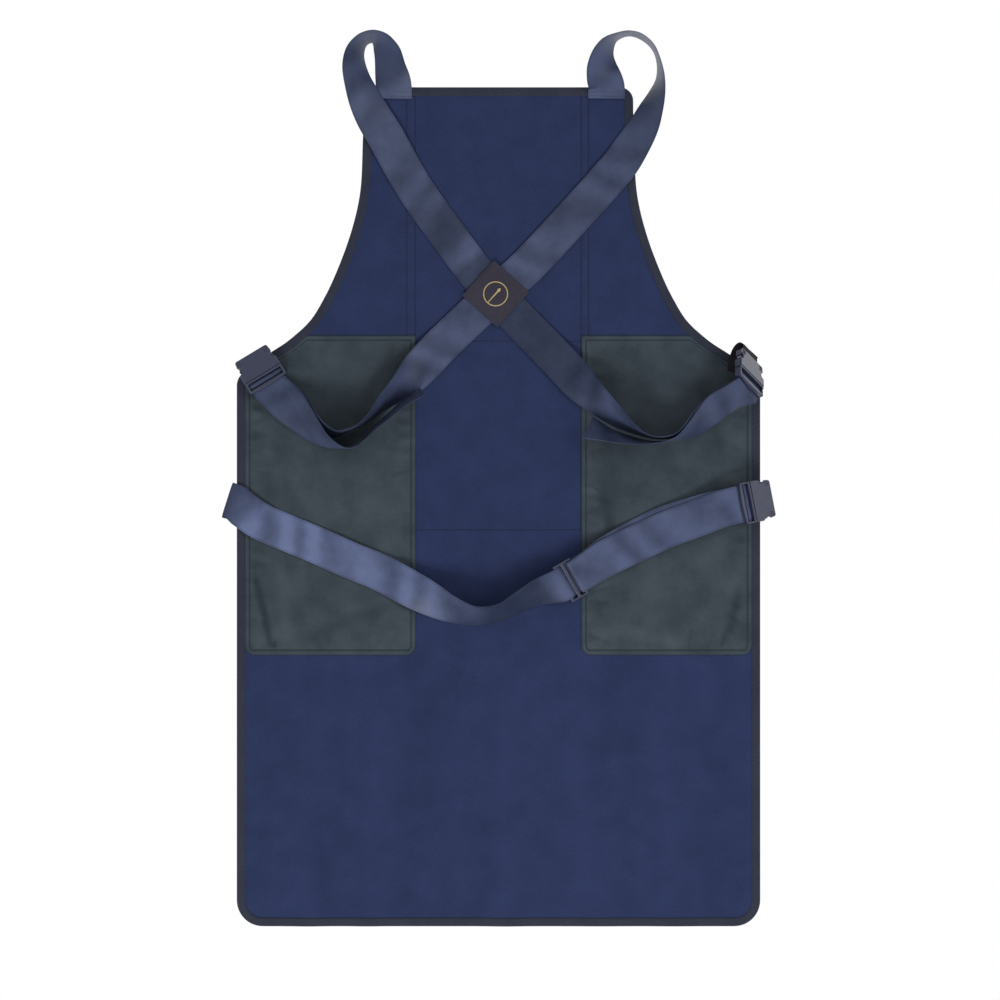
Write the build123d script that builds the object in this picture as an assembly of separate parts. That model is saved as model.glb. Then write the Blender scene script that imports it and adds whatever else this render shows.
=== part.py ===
"""Artist's apron with crossed webbing straps, laid flat with its front side down.

The cloth body lies on Z = 0. +Y runs from the hem to the bib, +X to the right as seen from
above, and the wearer's side, with the straps and the hanging pocket bags, faces up.
All lengths are in millimetres.
"""
import os
from math import cos, radians, sin

from build123d import *

# ---- cloth body -------------------------------------------------------------------------
BODY_W = 542.0            # width of the skirt, edge to edge
BODY_L = 870.0            # length from the hem to the top of the bib
BIB_W = 278.0             # width of the bib at its top
ARMHOLE_DROP = 308.0      # from the top of the bib down to where the sides run straight
BIB_R = 13.0              # corner radius at the top of the bib
HEM_R = 26.0              # corner radius at the hem
CLOTH_T = 0.8             # thickness of the body cloth
LINING_T = 0.6            # thickness of the pocket lining
SEAM_X = 90.0             # distance of the long seams from the middle
CENTRE_SEAM_Y = 411.0     # height of the seam under the centre panel
ARMHOLE_STEPS = 40        # straight pieces that make up one armhole curve

# ---- edge binding -----------------------------------------------------------------------
BIND_W = 8.0              # width of binding that covers the cloth
BIND_OUT = 1.0            # how far the binding stands out past the cloth
BIND_T = 3.2              # thickness of the bound edge

# ---- pockets ----------------------------------------------------------------------------
BAG_TOP_Y = 613.0
BAG_BOTTOM_Y = 281.0
BAG_IN_X = 86.0           # inner edge of a hanging pocket bag
BAG_MARGIN = 8.3          # from the side of the body to the outer edge of a bag
BAG_R = 16.0
BAG_ROOM = 4.6            # free height inside a bag
BAG_FLANGE = 6.0          # sewn margin round a bag
BAG_SLOPE = 34.0          # run of the sloping side of a bag
MOUTH_Y0 = 436.0          # ends of the curved pocket mouth in the front
MOUTH_Y1 = 600.0
MOUTH_DEPTH = 22.0
WELT_W = 7.0
WELT_T = 0.9
CHEST_POCKET_H = 146.0
CHEST_POCKET_Y = 607.0    # lower edge of the chest pocket
CENTRE_POCKET_H = 180.0
POCKET_GAP = 1.0          # from a front pocket to the long seams
POCKET_T = 0.9
POCKET_HEM = 12.0
POCKET_HEM_T = 1.1

# ---- webbing ----------------------------------------------------------------------------
WEB_W = 38.0
WEB_T = 1.1
TAPE_W = 28.0             # width of the grosgrain tabs that hold the buckles
TAPE_T = 1.0
CLEAR = 0.15              # gap between webbing and what it passes round
PATCH = 49.0              # side of the square patch on the crossing
PATCH_T = 1.0
PATCH_BACK_T = 0.5
RING_R = 13.0
STEPS = 2                 # spans between two route points in the solid webbing

# ---- side-release buckle ----------------------------------------------------------------
BUCKLE_L = 37.0
BUCKLE_T = 8.6
CHEEK = 2.0
SLOT_W = 39.0             # clear width for the webbing
WALL = 1.5
BAR_OUT = 3.0             # length of the outer bar along the strap
BAR_MID = 2.4
LADDER_GAP = 2.8          # gap between the outer and the middle bar
MOUTH_U = 12.8            # where the female half begins
FIT = 0.4                 # clearance between the halves
PRONG_T = 3.4             # thickness of a prong arm across the buckle
PRONG_H = 4.4
WINDOW_U0 = 22.0
WINDOW_U1 = 30.0
NOTCH = 4.4               # depth of the side notches over the buttons
FAR_TAPER = 2.4           # narrowing of the female half on each side

# ---- strap slider -----------------------------------------------------------------------
SLIDER_SLOT = 41.0
SLIDER_RAIL = 2.3
SLIDER_T = 2.4
SLIDER_BAR = 3.0
SLIDER_MID = 3.6
SLIDER_GAP = 5.2

# ---- the free webbing: points of each route as x, y, z and roll in degrees ------------------
# The routes are drawn on a body of this size; x and y stretch with the real body.
ROUTE_W, ROUTE_L, ROUTE_BIB, ROUTE_DROP = 542.0, 870.0, 278.0, 308.0

LEFT_STRAP = [
    (-109, 859, 3.8, 0), (-109, 874, 8, -12), (-112, 890, 12, -32), (-115, 905, 14.5, -44),
    (-121, 916, 17.5, -62), (-130, 921, 19, -78), (-141, 917, 19, -76), (-148, 906, 18, -64),
    (-149, 891, 17.5, -52), (-145, 874, 17, -42), (-138, 856, 14, -26), (-129, 838, 9.5, -12),
    (-116, 817, 5.5, 0), (-92, 774, 3.6, 0), (-67, 737, 3.2, 0), (-24, 679, 3.2, 0), (-3, 656, 3.2, 0),
    (19, 632, 3.2, 0), (45, 605, 4, 0), (69, 580, 6.5, 4), (84, 563, 12, 20), (98, 549, 19, 40),
    (117, 532, 24.5, 56), (136, 517, 27, 76), (151, 509, 27.5, 86), (166, 506, 28, 88),
    (183, 508, 28.5, 82), (197, 515, 30, 66), (210, 526, 32.5, 52), (227, 541, 37, 44),
    (240, 549.5, 41, 46),
]
LEFT_TAIL = [
    (241, 548.5, 43.2, -46), (226, 539, 38.5, -43), (214, 527, 34, -50), (204, 517, 31.5, -60),
    (194, 510, 29.5, -72), (183, 505, 28.5, -84), (168, 502, 28, -92), (151, 502, 27.5, -98),
    (130, 505, 26.5, -107), (111, 510, 25, -115), (92, 517, 22.5, -130),
]
RIGHT_STRAP = [
    (112, 859, 3.8, 0), (112, 871, 6.0, 4), (109, 881, 10.5, 16), (107, 892, 13, 34), (108, 904, 15.5, 54),
    (113, 914, 18, 70), (121, 920, 19.5, 84), (134, 924, 19.7, 90), (147, 921, 19.7, 90),
    (159, 911, 19.7, 90), (165, 897, 19.7, 88), (167, 880, 19.7, 80), (164, 864, 19.5, 66),
    (158, 847, 18.5, 50), (150, 828, 15, 34), (138, 808, 10.5, 18), (126, 790, 7, 6),
    (111, 773, 5, 0), (96, 756, 4.5, 0), (32, 687, 4.5, 0), (-3, 656, 4.5, 0), (-34, 627, 4.5, 0),
    (-60, 602, 5.5, 0), (-83, 577, 10, -16), (-99, 561, 18, -44), (-117, 545, 25.5, -68),
    (-130, 530, 27.5, -80), (-142, 520, 28, -86), (-154, 514, 28, -87), (-167, 511, 27, -80),
    (-184, 516, 24, -60), (-203, 528, 18, -30), (-219, 544, 12, -8),
]
RIGHT_TAIL = [
    (-220, 543, 14, 8), (-204, 527, 20, 34), (-190, 513, 24.5, 54), (-176, 502, 27, 72),
    (-160, 496, 27.5, 88), (-149, 497, 27.5, 94), (-138, 506, 27.3, 97), (-125, 519, 27, 100),
    (-107, 534, 27, 102), (-93, 545, 26.8, 104), (-78, 554, 26.5, 105),
]
WAIST_LEFT = [
    (-265, 432, 6.2, 0), (-247, 420, 7.8, 0), (-217, 407, 8.8, 0), (-186, 394, 8.8, 0),
    (-155, 380, 8.8, 0), (-123, 367, 8.8, 0), (-93, 351, 9.5, 4), (-68, 338, 12, 24),
    (-46, 328, 16.5, 44), (-23, 322, 19, 56), (2, 326, 19.7, 60), (22, 337, 18.5, 54),
    (42, 347, 17, 42),
]
WAIST_TOP = [
    (110, 381, 13.2, 2), (145, 398, 12, 0), (176, 412, 12.4, 0), (208, 424, 16.5, 0),
    (228, 432, 21.4, 0),
]
WAIST_UNDER = [
    (226, 433, 19.7, 0), (205, 427, 14.4, 0), (173, 417, 10.5, 0), (142, 402, 9.4, 0),
    (112, 385, 9.6, -6),
]
ANCHOR_FOLD = (-281.6, 442.0)   # outermost point of the waist strap's fold round the left edge
ANCHOR_HEADING = -17.6
ANCHOR_SEWN = 42.0
ANCHOR_NOTCH = 46.0

# buckles: strap end x, y, z, heading of the female end, dip and roll
UPPER_LEFT = (-237.6, 561.4, 9.3, 121.0, 5.0, 0.0)
UPPER_RIGHT = (254.0, 557.2, 40.0, 87.0, 38.0, 52.0)
# curl of the upper right tab from its sewn end to the bar: x, y, z and share of the turn
TAB_CURL = [
    (251.5, 575.0, 4.4, 0), (252.6, 584.0, 5.0, 0.12), (255.0, 592.5, 8.0, 0.4),
    (258.0, 597.0, 12.0, 0.7), (260.6, 596.0, 15.0, 0.95),
]
WAIST_RIGHT = (248.6, 437.4, 21.1, 11.0, 30.0, 0.0)
SLIDER = (74.0, 360.5, 13.6, 30.0, 0.0, 22.0)

# ---- values worked out from the sizes above -----------------------------------------------
CLOTH_Z = 1.2                              # underside of the body cloth, above the front pockets
CLOTH_TOP = CLOTH_Z + CLOTH_T
SIDE_Y = BODY_L - ARMHOLE_DROP
BUCKLE_W = SLOT_W + 2 * CHEEK
BIG = 2000.0


def stretch(x, y):
    """Move a route point with the body: x with the local width, y with the length."""
    if y >= ROUTE_L - ROUTE_DROP:
        t = min(1.0, (ROUTE_L - y) / ROUTE_DROP)
        new_y = BODY_L - (ROUTE_L - y) * ARMHOLE_DROP / ROUTE_DROP
    else:
        t = 1.0
        new_y = y * SIDE_Y / (ROUTE_L - ROUTE_DROP)
    ratio = BIB_W / ROUTE_BIB * (1 - t) + BODY_W / ROUTE_W * t
    return x * ratio, new_y


# ---- flat cloth ---------------------------------------------------------------------------
def body_outline(grow=0.0):
    """The flat outline of the body as a polygon, moved outward by grow."""
    bib = BIB_W / 2
    side = BODY_W / 2
    shape = [(0.0, 0.05), (0.008, 0.175), (0.038, 0.377), (0.12, 0.513), (0.174, 0.577),
             (0.318, 0.714), (0.417, 0.783), (0.583, 0.85), (0.84, 0.926), (1.0, 1.0)]
    armhole = [(bib + (side - bib) * fx, BODY_L - ARMHOLE_DROP * fy) for fx, fy in shape]
    runs = [
        (TangentArc((bib - BIB_R, BODY_L), (bib, BODY_L - BIB_R), tangent=(1, 0)), 6),
        (Spline(armhole, tangents=((0, -1), (0, -1))), ARMHOLE_STEPS),
        (TangentArc((side, HEM_R), (side - HEM_R, 0), tangent=(0, -1)), 8),
    ]
    points = []
    for curve, steps in runs:
        for i in range(steps + 1):
            place = curve.position_at(i / steps)
            tangent = curve.tangent_at(i / steps)
            points.append(Vector(place.X - tangent.Y * grow, place.Y + tangent.X * grow, 0))
    points += [Vector(-p.X, p.Y, 0) for p in reversed(points)]
    return make_face(Wire.make_polygon(points, close=True))


def slab(face, z0, z1):
    """A flat layer of a face between two heights."""
    return Pos(0, 0, z0) * extrude(face, amount=z1 - z0, dir=(0, 0, 1))


def block(x0, x1, y0, y1, z0, z1):
    """A box given by its two corners."""
    box = Box(x1 - x0, y1 - y0, z1 - z0)
    return Pos((x0 + x1) / 2, (y0 + y1) / 2, (z0 + z1) / 2) * box


def mouth_face(side, grow):
    """The curved pocket mouth, cut from the body next to a long seam."""
    lo = (side * SEAM_X, MOUTH_Y0 - grow)
    hi = (side * SEAM_X, MOUTH_Y1 + grow)
    deep = (side * (SEAM_X + MOUTH_DEPTH + grow), (MOUTH_Y0 + MOUTH_Y1) / 2)
    return make_face(Wire.combine([ThreePointArc(lo, deep, hi).edge(), Line(hi, lo).edge()])[0])


def panels():
    """The centre panel and the body round it, with the two pocket mouths cut out."""
    whole = slab(body_outline(), CLOTH_Z, CLOTH_TOP)
    column = block(-SEAM_X, SEAM_X, CENTRE_SEAM_Y, BIG, -BIG, BIG)
    centre = whole & column
    body = whole - column
    for side in (-1, 1):
        body -= slab(mouth_face(side, 0.0), 0, BIND_T)
    return body, centre


def welt(side, body):
    """Facing turned round the curved edge of a pocket mouth from the front."""
    strip = slab(mouth_face(side, WELT_W), CLOTH_Z - WELT_T, CLOTH_TOP)
    strip -= slab(mouth_face(side, -BIND_OUT), -1, BIND_T)
    low, high = sorted((side * SEAM_X, side * (SEAM_X + 0.3)))
    strip -= block(low, high, 0, BODY_L, -1, BIND_T)
    return strip - body


def bindings():
    """The bound edge, cut into the neck, the two armholes and the sides with the hem."""
    ring = slab(body_outline(BIND_OUT), 0, BIND_T)
    ring -= slab(body_outline(-BIND_W), -1, BIND_T + 1)
    ring -= slab(body_outline(), CLOTH_Z, CLOTH_TOP)
    bib = BIB_W / 2 - BIB_R
    neck_block = block(-bib, bib, BODY_L - 40, BIG, -1, BIG)
    heading = radians(ANCHOR_HEADING)
    along = Vector(cos(heading), sin(heading), 0)
    fold = Vector(*stretch(*ANCHOR_FOLD), 0)
    reach = Box(2 * ANCHOR_SEWN, ANCHOR_NOTCH, 2 * CLOTH_Z)
    neck = ring & neck_block
    skirt = ring & block(-BIG, BIG, -BIG, SIDE_Y, -1, BIG)
    skirt -= Plane(origin=fold + along * ANCHOR_SEWN, x_dir=along, z_dir=(0, 0, 1)) * reach
    left = (ring & block(-BIG, 0, SIDE_Y, BIG, -1, BIG)) - neck_block
    right = (ring & block(0, BIG, SIDE_Y, BIG, -1, BIG)) - neck_block
    return neck, left, right, skirt


def front_pocket(y0, height, hem):
    """A patch pocket on the front with its doubled hem at the mouth."""
    half = SEAM_X - POCKET_GAP
    cloth = block(-half, half, y0, y0 + height, CLOTH_Z - POCKET_T, CLOTH_Z)
    roll = block(-half, half, y0 + height, y0 + height + hem, CLOTH_Z - POCKET_HEM_T, CLOTH_Z)
    return cloth + roll


# ---- solids of flat triangles ----------------------------------------------------------------
def skin(rings, crossed=()):
    """A closed solid through rings of matching points; crossed sides are split the other way."""
    count = len(rings[0])
    faces = [Face(Wire.make_polygon(rings[0], close=True)), Face(Wire.make_polygon(rings[-1], close=True))]
    for a, b in zip(rings, rings[1:]):
        for i in range(count):
            j = (i + 1) % count
            if i in crossed:
                faces.append(Face(Wire.make_polygon([a[i], a[j], b[i]], close=True)))
                faces.append(Face(Wire.make_polygon([a[j], b[j], b[i]], close=True)))
            else:
                faces.append(Face(Wire.make_polygon([a[i], a[j], b[j]], close=True)))
                faces.append(Face(Wire.make_polygon([a[i], b[j], b[i]], close=True)))
    solid = Solid(Shell(faces))
    return solid if solid.volume > 0 else Solid(solid.wrapped.Reversed())


def bag(side):
    """A hanging pocket bag: sewn margin, sloping sides and a slightly raised flat back."""
    top = BAG_TOP_Y
    outer = BODY_W / 2 - BAG_MARGIN
    low, high = sorted((side * BAG_IN_X, side * outer))
    rect = Pos((low + high) / 2, (top + BAG_BOTTOM_Y) / 2) * Rectangle(high - low, top - BAG_BOTTOM_Y)
    face = rect & body_outline(-(BIND_W + 0.4))
    corners = face.vertices().filter_by(lambda v: v.Y < BAG_BOTTOM_Y + 1)
    face = fillet(corners, BAG_R)
    rim = face.faces()[0].outer_wire()
    points = [rim.position_at(i / 48) for i in range(48)]
    middle = Vector((low + high) / 2, (top + BAG_BOTTOM_Y) / 2, 0)
    half_x = (high - low) / 2
    half_y = (top - BAG_BOTTOM_Y) / 2

    def ring(inset, z):
        kx = 1 - inset / half_x
        ky = 1 - inset / half_y
        ring_points = []
        for p in points:
            ring_points.append(Vector(middle.X + (p.X - middle.X) * kx, middle.Y + (p.Y - middle.Y) * ky, z))
        return ring_points

    z0 = CLOTH_TOP
    run = BAG_FLANGE + BAG_SLOPE
    outer_skin = skin([ring(0, z0), ring(0, z0 + LINING_T), ring(BAG_FLANGE, z0 + LINING_T),
                       ring(run, z0 + BAG_ROOM + LINING_T)])
    inner_skin = skin([ring(BAG_FLANGE, z0), ring(run, z0 + BAG_ROOM)])
    return outer_skin - inner_skin


# ---- webbing ----------------------------------------------------------------------------------
def smooth(route, steps=STEPS):
    """Catmull-Rom points along a route, each with its roll."""
    pts = [Vector(*stretch(x, y), z) for x, y, z, _ in route]
    rolls = [r for _, _, _, r in route]
    pts = [pts[0] * 2 - pts[1]] + pts + [pts[-1] * 2 - pts[-2]]
    rolls = [rolls[0]] + rolls + [rolls[-1]]
    out = []
    for i in range(1, len(pts) - 2):
        for k in range(steps):
            t = k / steps
            c = [-t + 2 * t**2 - t**3, 2 - 5 * t**2 + 3 * t**3, t + 4 * t**2 - 3 * t**3, -t**2 + t**3]
            point = Vector(0, 0, 0)
            roll = 0.0
            for j in range(4):
                point += pts[i - 1 + j] * (c[j] / 2)
                roll += rolls[i - 1 + j] * c[j] / 2
            out.append((point, roll))
    out.append((pts[-2], rolls[-2]))
    return out


def widths(route, flip=1):
    """Centre points and width directions of a free run; a positive roll lifts the left edge."""
    run = smooth(route)
    result = []
    for i, (point, roll) in enumerate(run):
        ahead = run[min(i + 1, len(run) - 1)][0] - run[max(i - 1, 0)][0]
        tangent = ahead.normalized()
        level = Vector(0, 0, 1).cross(tangent).normalized()
        up = tangent.cross(level)
        across = level * cos(radians(roll)) + up * sin(radians(roll))
        result.append((point, across * flip))
    return result


def on_plane(plane, path):
    """Centre points and width directions of a run given as (along, height) on a plane."""
    return [(plane.from_local_coords(Vector(u, 0, w)), plane.y_dir) for u, w in path]


def band(stations, width, thick):
    """A flat strip through centre points, each with the direction of its width."""
    rings = []
    last = len(stations) - 1
    for i, (centre, across) in enumerate(stations):
        back = (centre - stations[i - 1][0]).normalized() if i > 0 else None
        ahead = (stations[i + 1][0] - centre).normalized() if i < last else None
        back = back or ahead
        ahead = ahead or back
        tangent = (back + ahead).normalized()
        miter = 1 / max(0.55, tangent.dot(ahead))
        side = (across - tangent * across.dot(tangent)).normalized() * (width / 2)
        normal = tangent.cross(side.normalized()) * (thick / 2 * miter)
        rings.append([centre + side + normal, centre + side - normal,
                      centre - side - normal, centre - side + normal])
    # the upper and the lower face are split along the same slant, which keeps twisted runs thick
    return skin(rings, crossed=(1,))


def hardware_plane(x, y, z, heading, dip, roll):
    """Frame of a buckle or slider: X along the strap, Y its width, Z out of its top."""
    x, y = stretch(x, y)
    a, p, r = radians(heading), radians(dip), radians(roll)
    along = Vector(cos(a) * cos(p), sin(a) * cos(p), -sin(p))
    level = Vector(-sin(a), cos(a), 0)
    up = along.cross(level)
    width = level * cos(r) + up * sin(r)
    return Plane(origin=(x, y, z), x_dir=along, z_dir=along.cross(width))


def ladder_path():
    """Webbing through a buckle's two bars: in under both, back over the middle bar, out on top."""
    gap = CLEAR + WEB_T / 2
    low = 0.2 + WEB_T / 2
    tail = low + WEB_T + 0.25
    mid0 = BAR_OUT + LADDER_GAP
    inner = mid0 + BAR_MID + gap
    top = MID_BAR_TOP + gap
    outer = mid0 - gap
    return [(-4.5, low - 0.6), (-1.0, low), (inner, low), (inner, top), (outer, top), (outer, tail),
            (-1.0, tail), (-4.5, tail - 0.4)]


MID_BAR_Z = 0.2 + WEB_T + CLEAR            # underside of the middle bar
MID_BAR_TOP = MID_BAR_Z + 2.8
OUT_BAR_Z = 0.2 + 2 * WEB_T + 0.25 + CLEAR


def anchor_path():
    """The waist strap's sewn end under the body and its fold round the left edge."""
    heading = radians(ANCHOR_HEADING)
    along = Vector(cos(heading), sin(heading), 0)
    fold = Vector(*stretch(*ANCHOR_FOLD), 0)
    across = Vector(-along.Y, along.X, 0)
    low = 0.05 + WEB_T / 2
    path = [(ANCHOR_SEWN, low), (3.2, low), (0.9, 1.5), (0.0, 3.1), (0.9, 4.7), (3.4, 5.4), (9.0, 5.7)]
    # the sewn end runs back under the body, so the width direction stays the same all round
    return [(fold + along * s + Vector(0, 0, z), across) for s, z in path]


def slider_main_path():
    """The waist strap through the slider: over, under the middle bar, and over again."""
    gap = CLEAR + WEB_T / 2
    over = SLIDER_T + gap
    high = over + WEB_T + 0.25
    half = SLIDER_MID / 2
    rise = half + 2.7
    far = half + SLIDER_GAP + SLIDER_BAR
    return [(-far - 3.0, over), (-half - SLIDER_GAP, over), (-half - 2.6, 1.2), (-half - 1.0, -gap),
            (rise - 0.6, -gap), (rise, 0.2), (rise + 0.1, high - 0.9), (rise + 1.3, high),
            (far + 0.5, high), (far + 8.0, high - 1.4)]


def slider_end_path():
    """The strap's sewn end round the slider's right bar, as it arrives from below."""
    gap = CLEAR + WEB_T / 2
    over = SLIDER_T + gap
    near = SLIDER_MID / 2 + SLIDER_GAP
    far = near + SLIDER_BAR
    return [(far + 14.0, -gap), (near - gap, -gap), (near - gap, over), (far + gap, over),
            (far + gap + 0.9, 0.5), (far + 10.0, 0.5)]


def backwards(stations):
    return stations[::-1]


# ---- hardware ------------------------------------------------------------------------------------
def buckle_male():
    """Male half without its prongs: two cheeks, two bars, a shoulder and a guide tongue."""
    half = BUCKLE_W / 2
    body = block(MOUTH_U - 3.0, MOUTH_U - FIT, -half, half, 0.7, BUCKLE_T - 0.6)
    for side in (-1, 1):
        low, high = sorted((side * SLOT_W / 2, side * half))
        body += block(0, MOUTH_U - FIT, low, high, 0.2, BUCKLE_T - 1.8)
    mid0 = BAR_OUT + LADDER_GAP
    body += block(0, BAR_OUT, -half, half, OUT_BAR_Z, BUCKLE_T - 1.8)
    body += block(mid0, mid0 + BAR_MID, -half, half, MID_BAR_Z, MID_BAR_TOP)
    mid_z = BUCKLE_T / 2
    body += block(MOUTH_U - FIT, MOUTH_U + 15, -3.0, 3.0, mid_z - PRONG_H / 2, mid_z + PRONG_H / 2)
    for side in (-1, 1):
        root = PRONG_ROOT_V
        low, high = sorted((side * (root - PRONG_T / 2 - 1), side * (root + PRONG_T / 2 + 1)))
        body -= block(MOUTH_U - 2.4, MOUTH_U, low, high, mid_z - PRONG_H / 2 - FIT, mid_z + PRONG_H / 2 + FIT)
    edges = body.edges().filter_by(Axis.Y).filter_by(lambda e: e.length > SLOT_W - 1 and e.center().X < 4)
    body = fillet(edges, 0.6)
    return body


PRONG_ROOT_V = 12.5


def buckle_prong(side):
    """Spring arm of the male half with the button that shows in the side window."""
    mid_z = BUCKLE_T / 2
    arm = [(MOUTH_U - 2.0, PRONG_ROOT_V - PRONG_T / 2), (WINDOW_U0, 14.6), (WINDOW_U1 - 1.4, 14.2),
           (WINDOW_U1 - 0.6, 16.0), (WINDOW_U1 - 1.6, 18.6), (WINDOW_U0 + 3.5, 20.1),
           (WINDOW_U0 + 0.8, 20.1), (WINDOW_U0 + 0.8, 17.9),
           (MOUTH_U - 2.0, PRONG_ROOT_V + PRONG_T / 2)]
    face = make_face(Wire.make_polygon([Vector(u, side * v, 0) for u, v in arm], close=True))
    return slab(face, mid_z - PRONG_H / 2, mid_z + PRONG_H / 2)


def buckle_female():
    """Female half: a flat socket with side windows and a covered bar for its tab."""
    half = BUCKLE_W / 2
    far = half - FAR_TAPER
    plan = [(MOUTH_U, -half), (WINDOW_U0, -half), (BUCKLE_L - 2, -far), (BUCKLE_L, -far + 2),
            (BUCKLE_L, far - 2), (BUCKLE_L - 2, far), (WINDOW_U0, half), (MOUTH_U, half)]
    shell = slab(make_face(Wire.make_polygon([Vector(u, v, 0) for u, v in plan], close=True)), 0, BUCKLE_T)
    cavity = half - WALL - 0.2
    shell -= block(MOUTH_U - 1, WINDOW_U1, -cavity, cavity, WALL, BUCKLE_T - WALL)
    for side in (-1, 1):
        low, high = sorted((side * 17.6, side * (half + 1)))
        shell -= block(WINDOW_U0, WINDOW_U1, low, high, WALL, BUCKLE_T - WALL)
        low, high = sorted((side * (half - NOTCH), side * (half + 1)))
        shell -= block(WINDOW_U0 + 1, WINDOW_U1 - 1, low, high, -1, BUCKLE_T + 1)
    tape = TAPE_W / 2 + 0.6
    shell -= block(WINDOW_U1 + 1.2, BUCKLE_L - 3.2, -tape, tape, -1, FAR_BAR_TOP + TAPE_T + 2 * CLEAR)
    shell -= block(BUCKLE_L - 3.3, BUCKLE_L + 1, -tape, tape, FAR_BAR_TOP, FAR_BAR_TOP + TAPE_T + 2 * CLEAR)
    shell -= block(BUCKLE_L - TAPE_T - 2 * CLEAR, BUCKLE_L + 1, -tape, tape, -1, FAR_BAR_TOP + TAPE_T)
    return shell


FAR_BAR_TOP = 4.6


def tab_loop():
    """The tab's turn round the female half's bar, from its upper run to its lower run."""
    gap = CLEAR + TAPE_T / 2
    slot = BUCKLE_L - 3.2 - gap - 0.05
    out = BUCKLE_L - TAPE_T - 2 * CLEAR + gap + 0.05
    top = FAR_BAR_TOP + gap
    return [(slot - 1.2, -gap - 0.1), (slot, 0.6), (slot, top), (out, top), (out, 0.2), (out - 1.2, -2 * gap - 0.6)]


def flat_tab(plane):
    """A tab that lies under its buckle, sewn down at its inner end."""
    gap = CLEAR + TAPE_T / 2
    upper = [(16.0, -2.9), (22.0, -2.0), (28.0, -gap - 0.1)]
    lower = [(28.0, -2 * gap - 0.7), (22.0, -3.3), (16.0, -4.1)]
    return band(on_plane(plane, upper + tab_loop() + lower), TAPE_W, TAPE_T)


def standing_tab(plane):
    """The tab of the buckle that stands on its side: sewn on the corner, it curls up to the bar."""
    gap = CLEAR + TAPE_T / 2
    slot = BUCKLE_L - 3.2 - gap
    sewn_across = Vector(-0.82, 0.57, 0)
    run = []
    for point, turn in smooth(TAB_CURL, 3):
        across = sewn_across * (1 - turn) + plane.y_dir * turn
        run.append((point, across.normalized()))
    # the short end turns back past the bar and is sewn there
    loop = [(BUCKLE_L + 4.5, FAR_BAR_TOP + gap), (slot, FAR_BAR_TOP + gap),
            (slot, -gap - 0.1), (BUCKLE_L + 2.5, -gap - 0.1)]
    return band(run + on_plane(plane, loop), TAPE_W, TAPE_T)


def slider_frame():
    """Three-bar slider for the waist strap."""
    half_v = SLIDER_SLOT / 2 + SLIDER_RAIL
    half_u = SLIDER_MID / 2 + SLIDER_GAP + SLIDER_BAR
    frame = Pos(0, 0, SLIDER_T / 2) * Box(2 * half_u, 2 * half_v, SLIDER_T)
    frame = fillet(frame.edges().filter_by(Axis.Z), 2.0)
    for side in (-1, 1):
        low, high = sorted((side * SLIDER_MID / 2, side * (SLIDER_MID / 2 + SLIDER_GAP)))
        frame -= block(low, high, -SLIDER_SLOT / 2, SLIDER_SLOT / 2, -1, SLIDER_T + 1)
    return frame


def patch(z0, thick, size):
    """Square patch turned with the straps' crossing."""
    return Pos(*stretch(-3, 656), z0) * Rot(0, 0, -42) * Pos(0, 0, thick / 2) * Box(size, size, thick)


def emblem(z0):
    """Raised thread badge: a ring with a plain paint brush across it."""
    ring = Cylinder(RING_R, 0.3) - Cylinder(RING_R - 1.1, 1)
    # the handle reaches the ring, so the badge is one piece
    handle = Pos(2.0 - RING_R / 2, 0, 0) * Box(RING_R + 3.2, 1.4, 0.3)
    head = Pos(5.6, 0, 0) * Box(4.4, 3.2, 0.3)
    badge = ring + handle + head
    return Pos(*stretch(-3, 656), z0 + 0.15) * Rot(0, 0, 48) * badge


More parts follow.
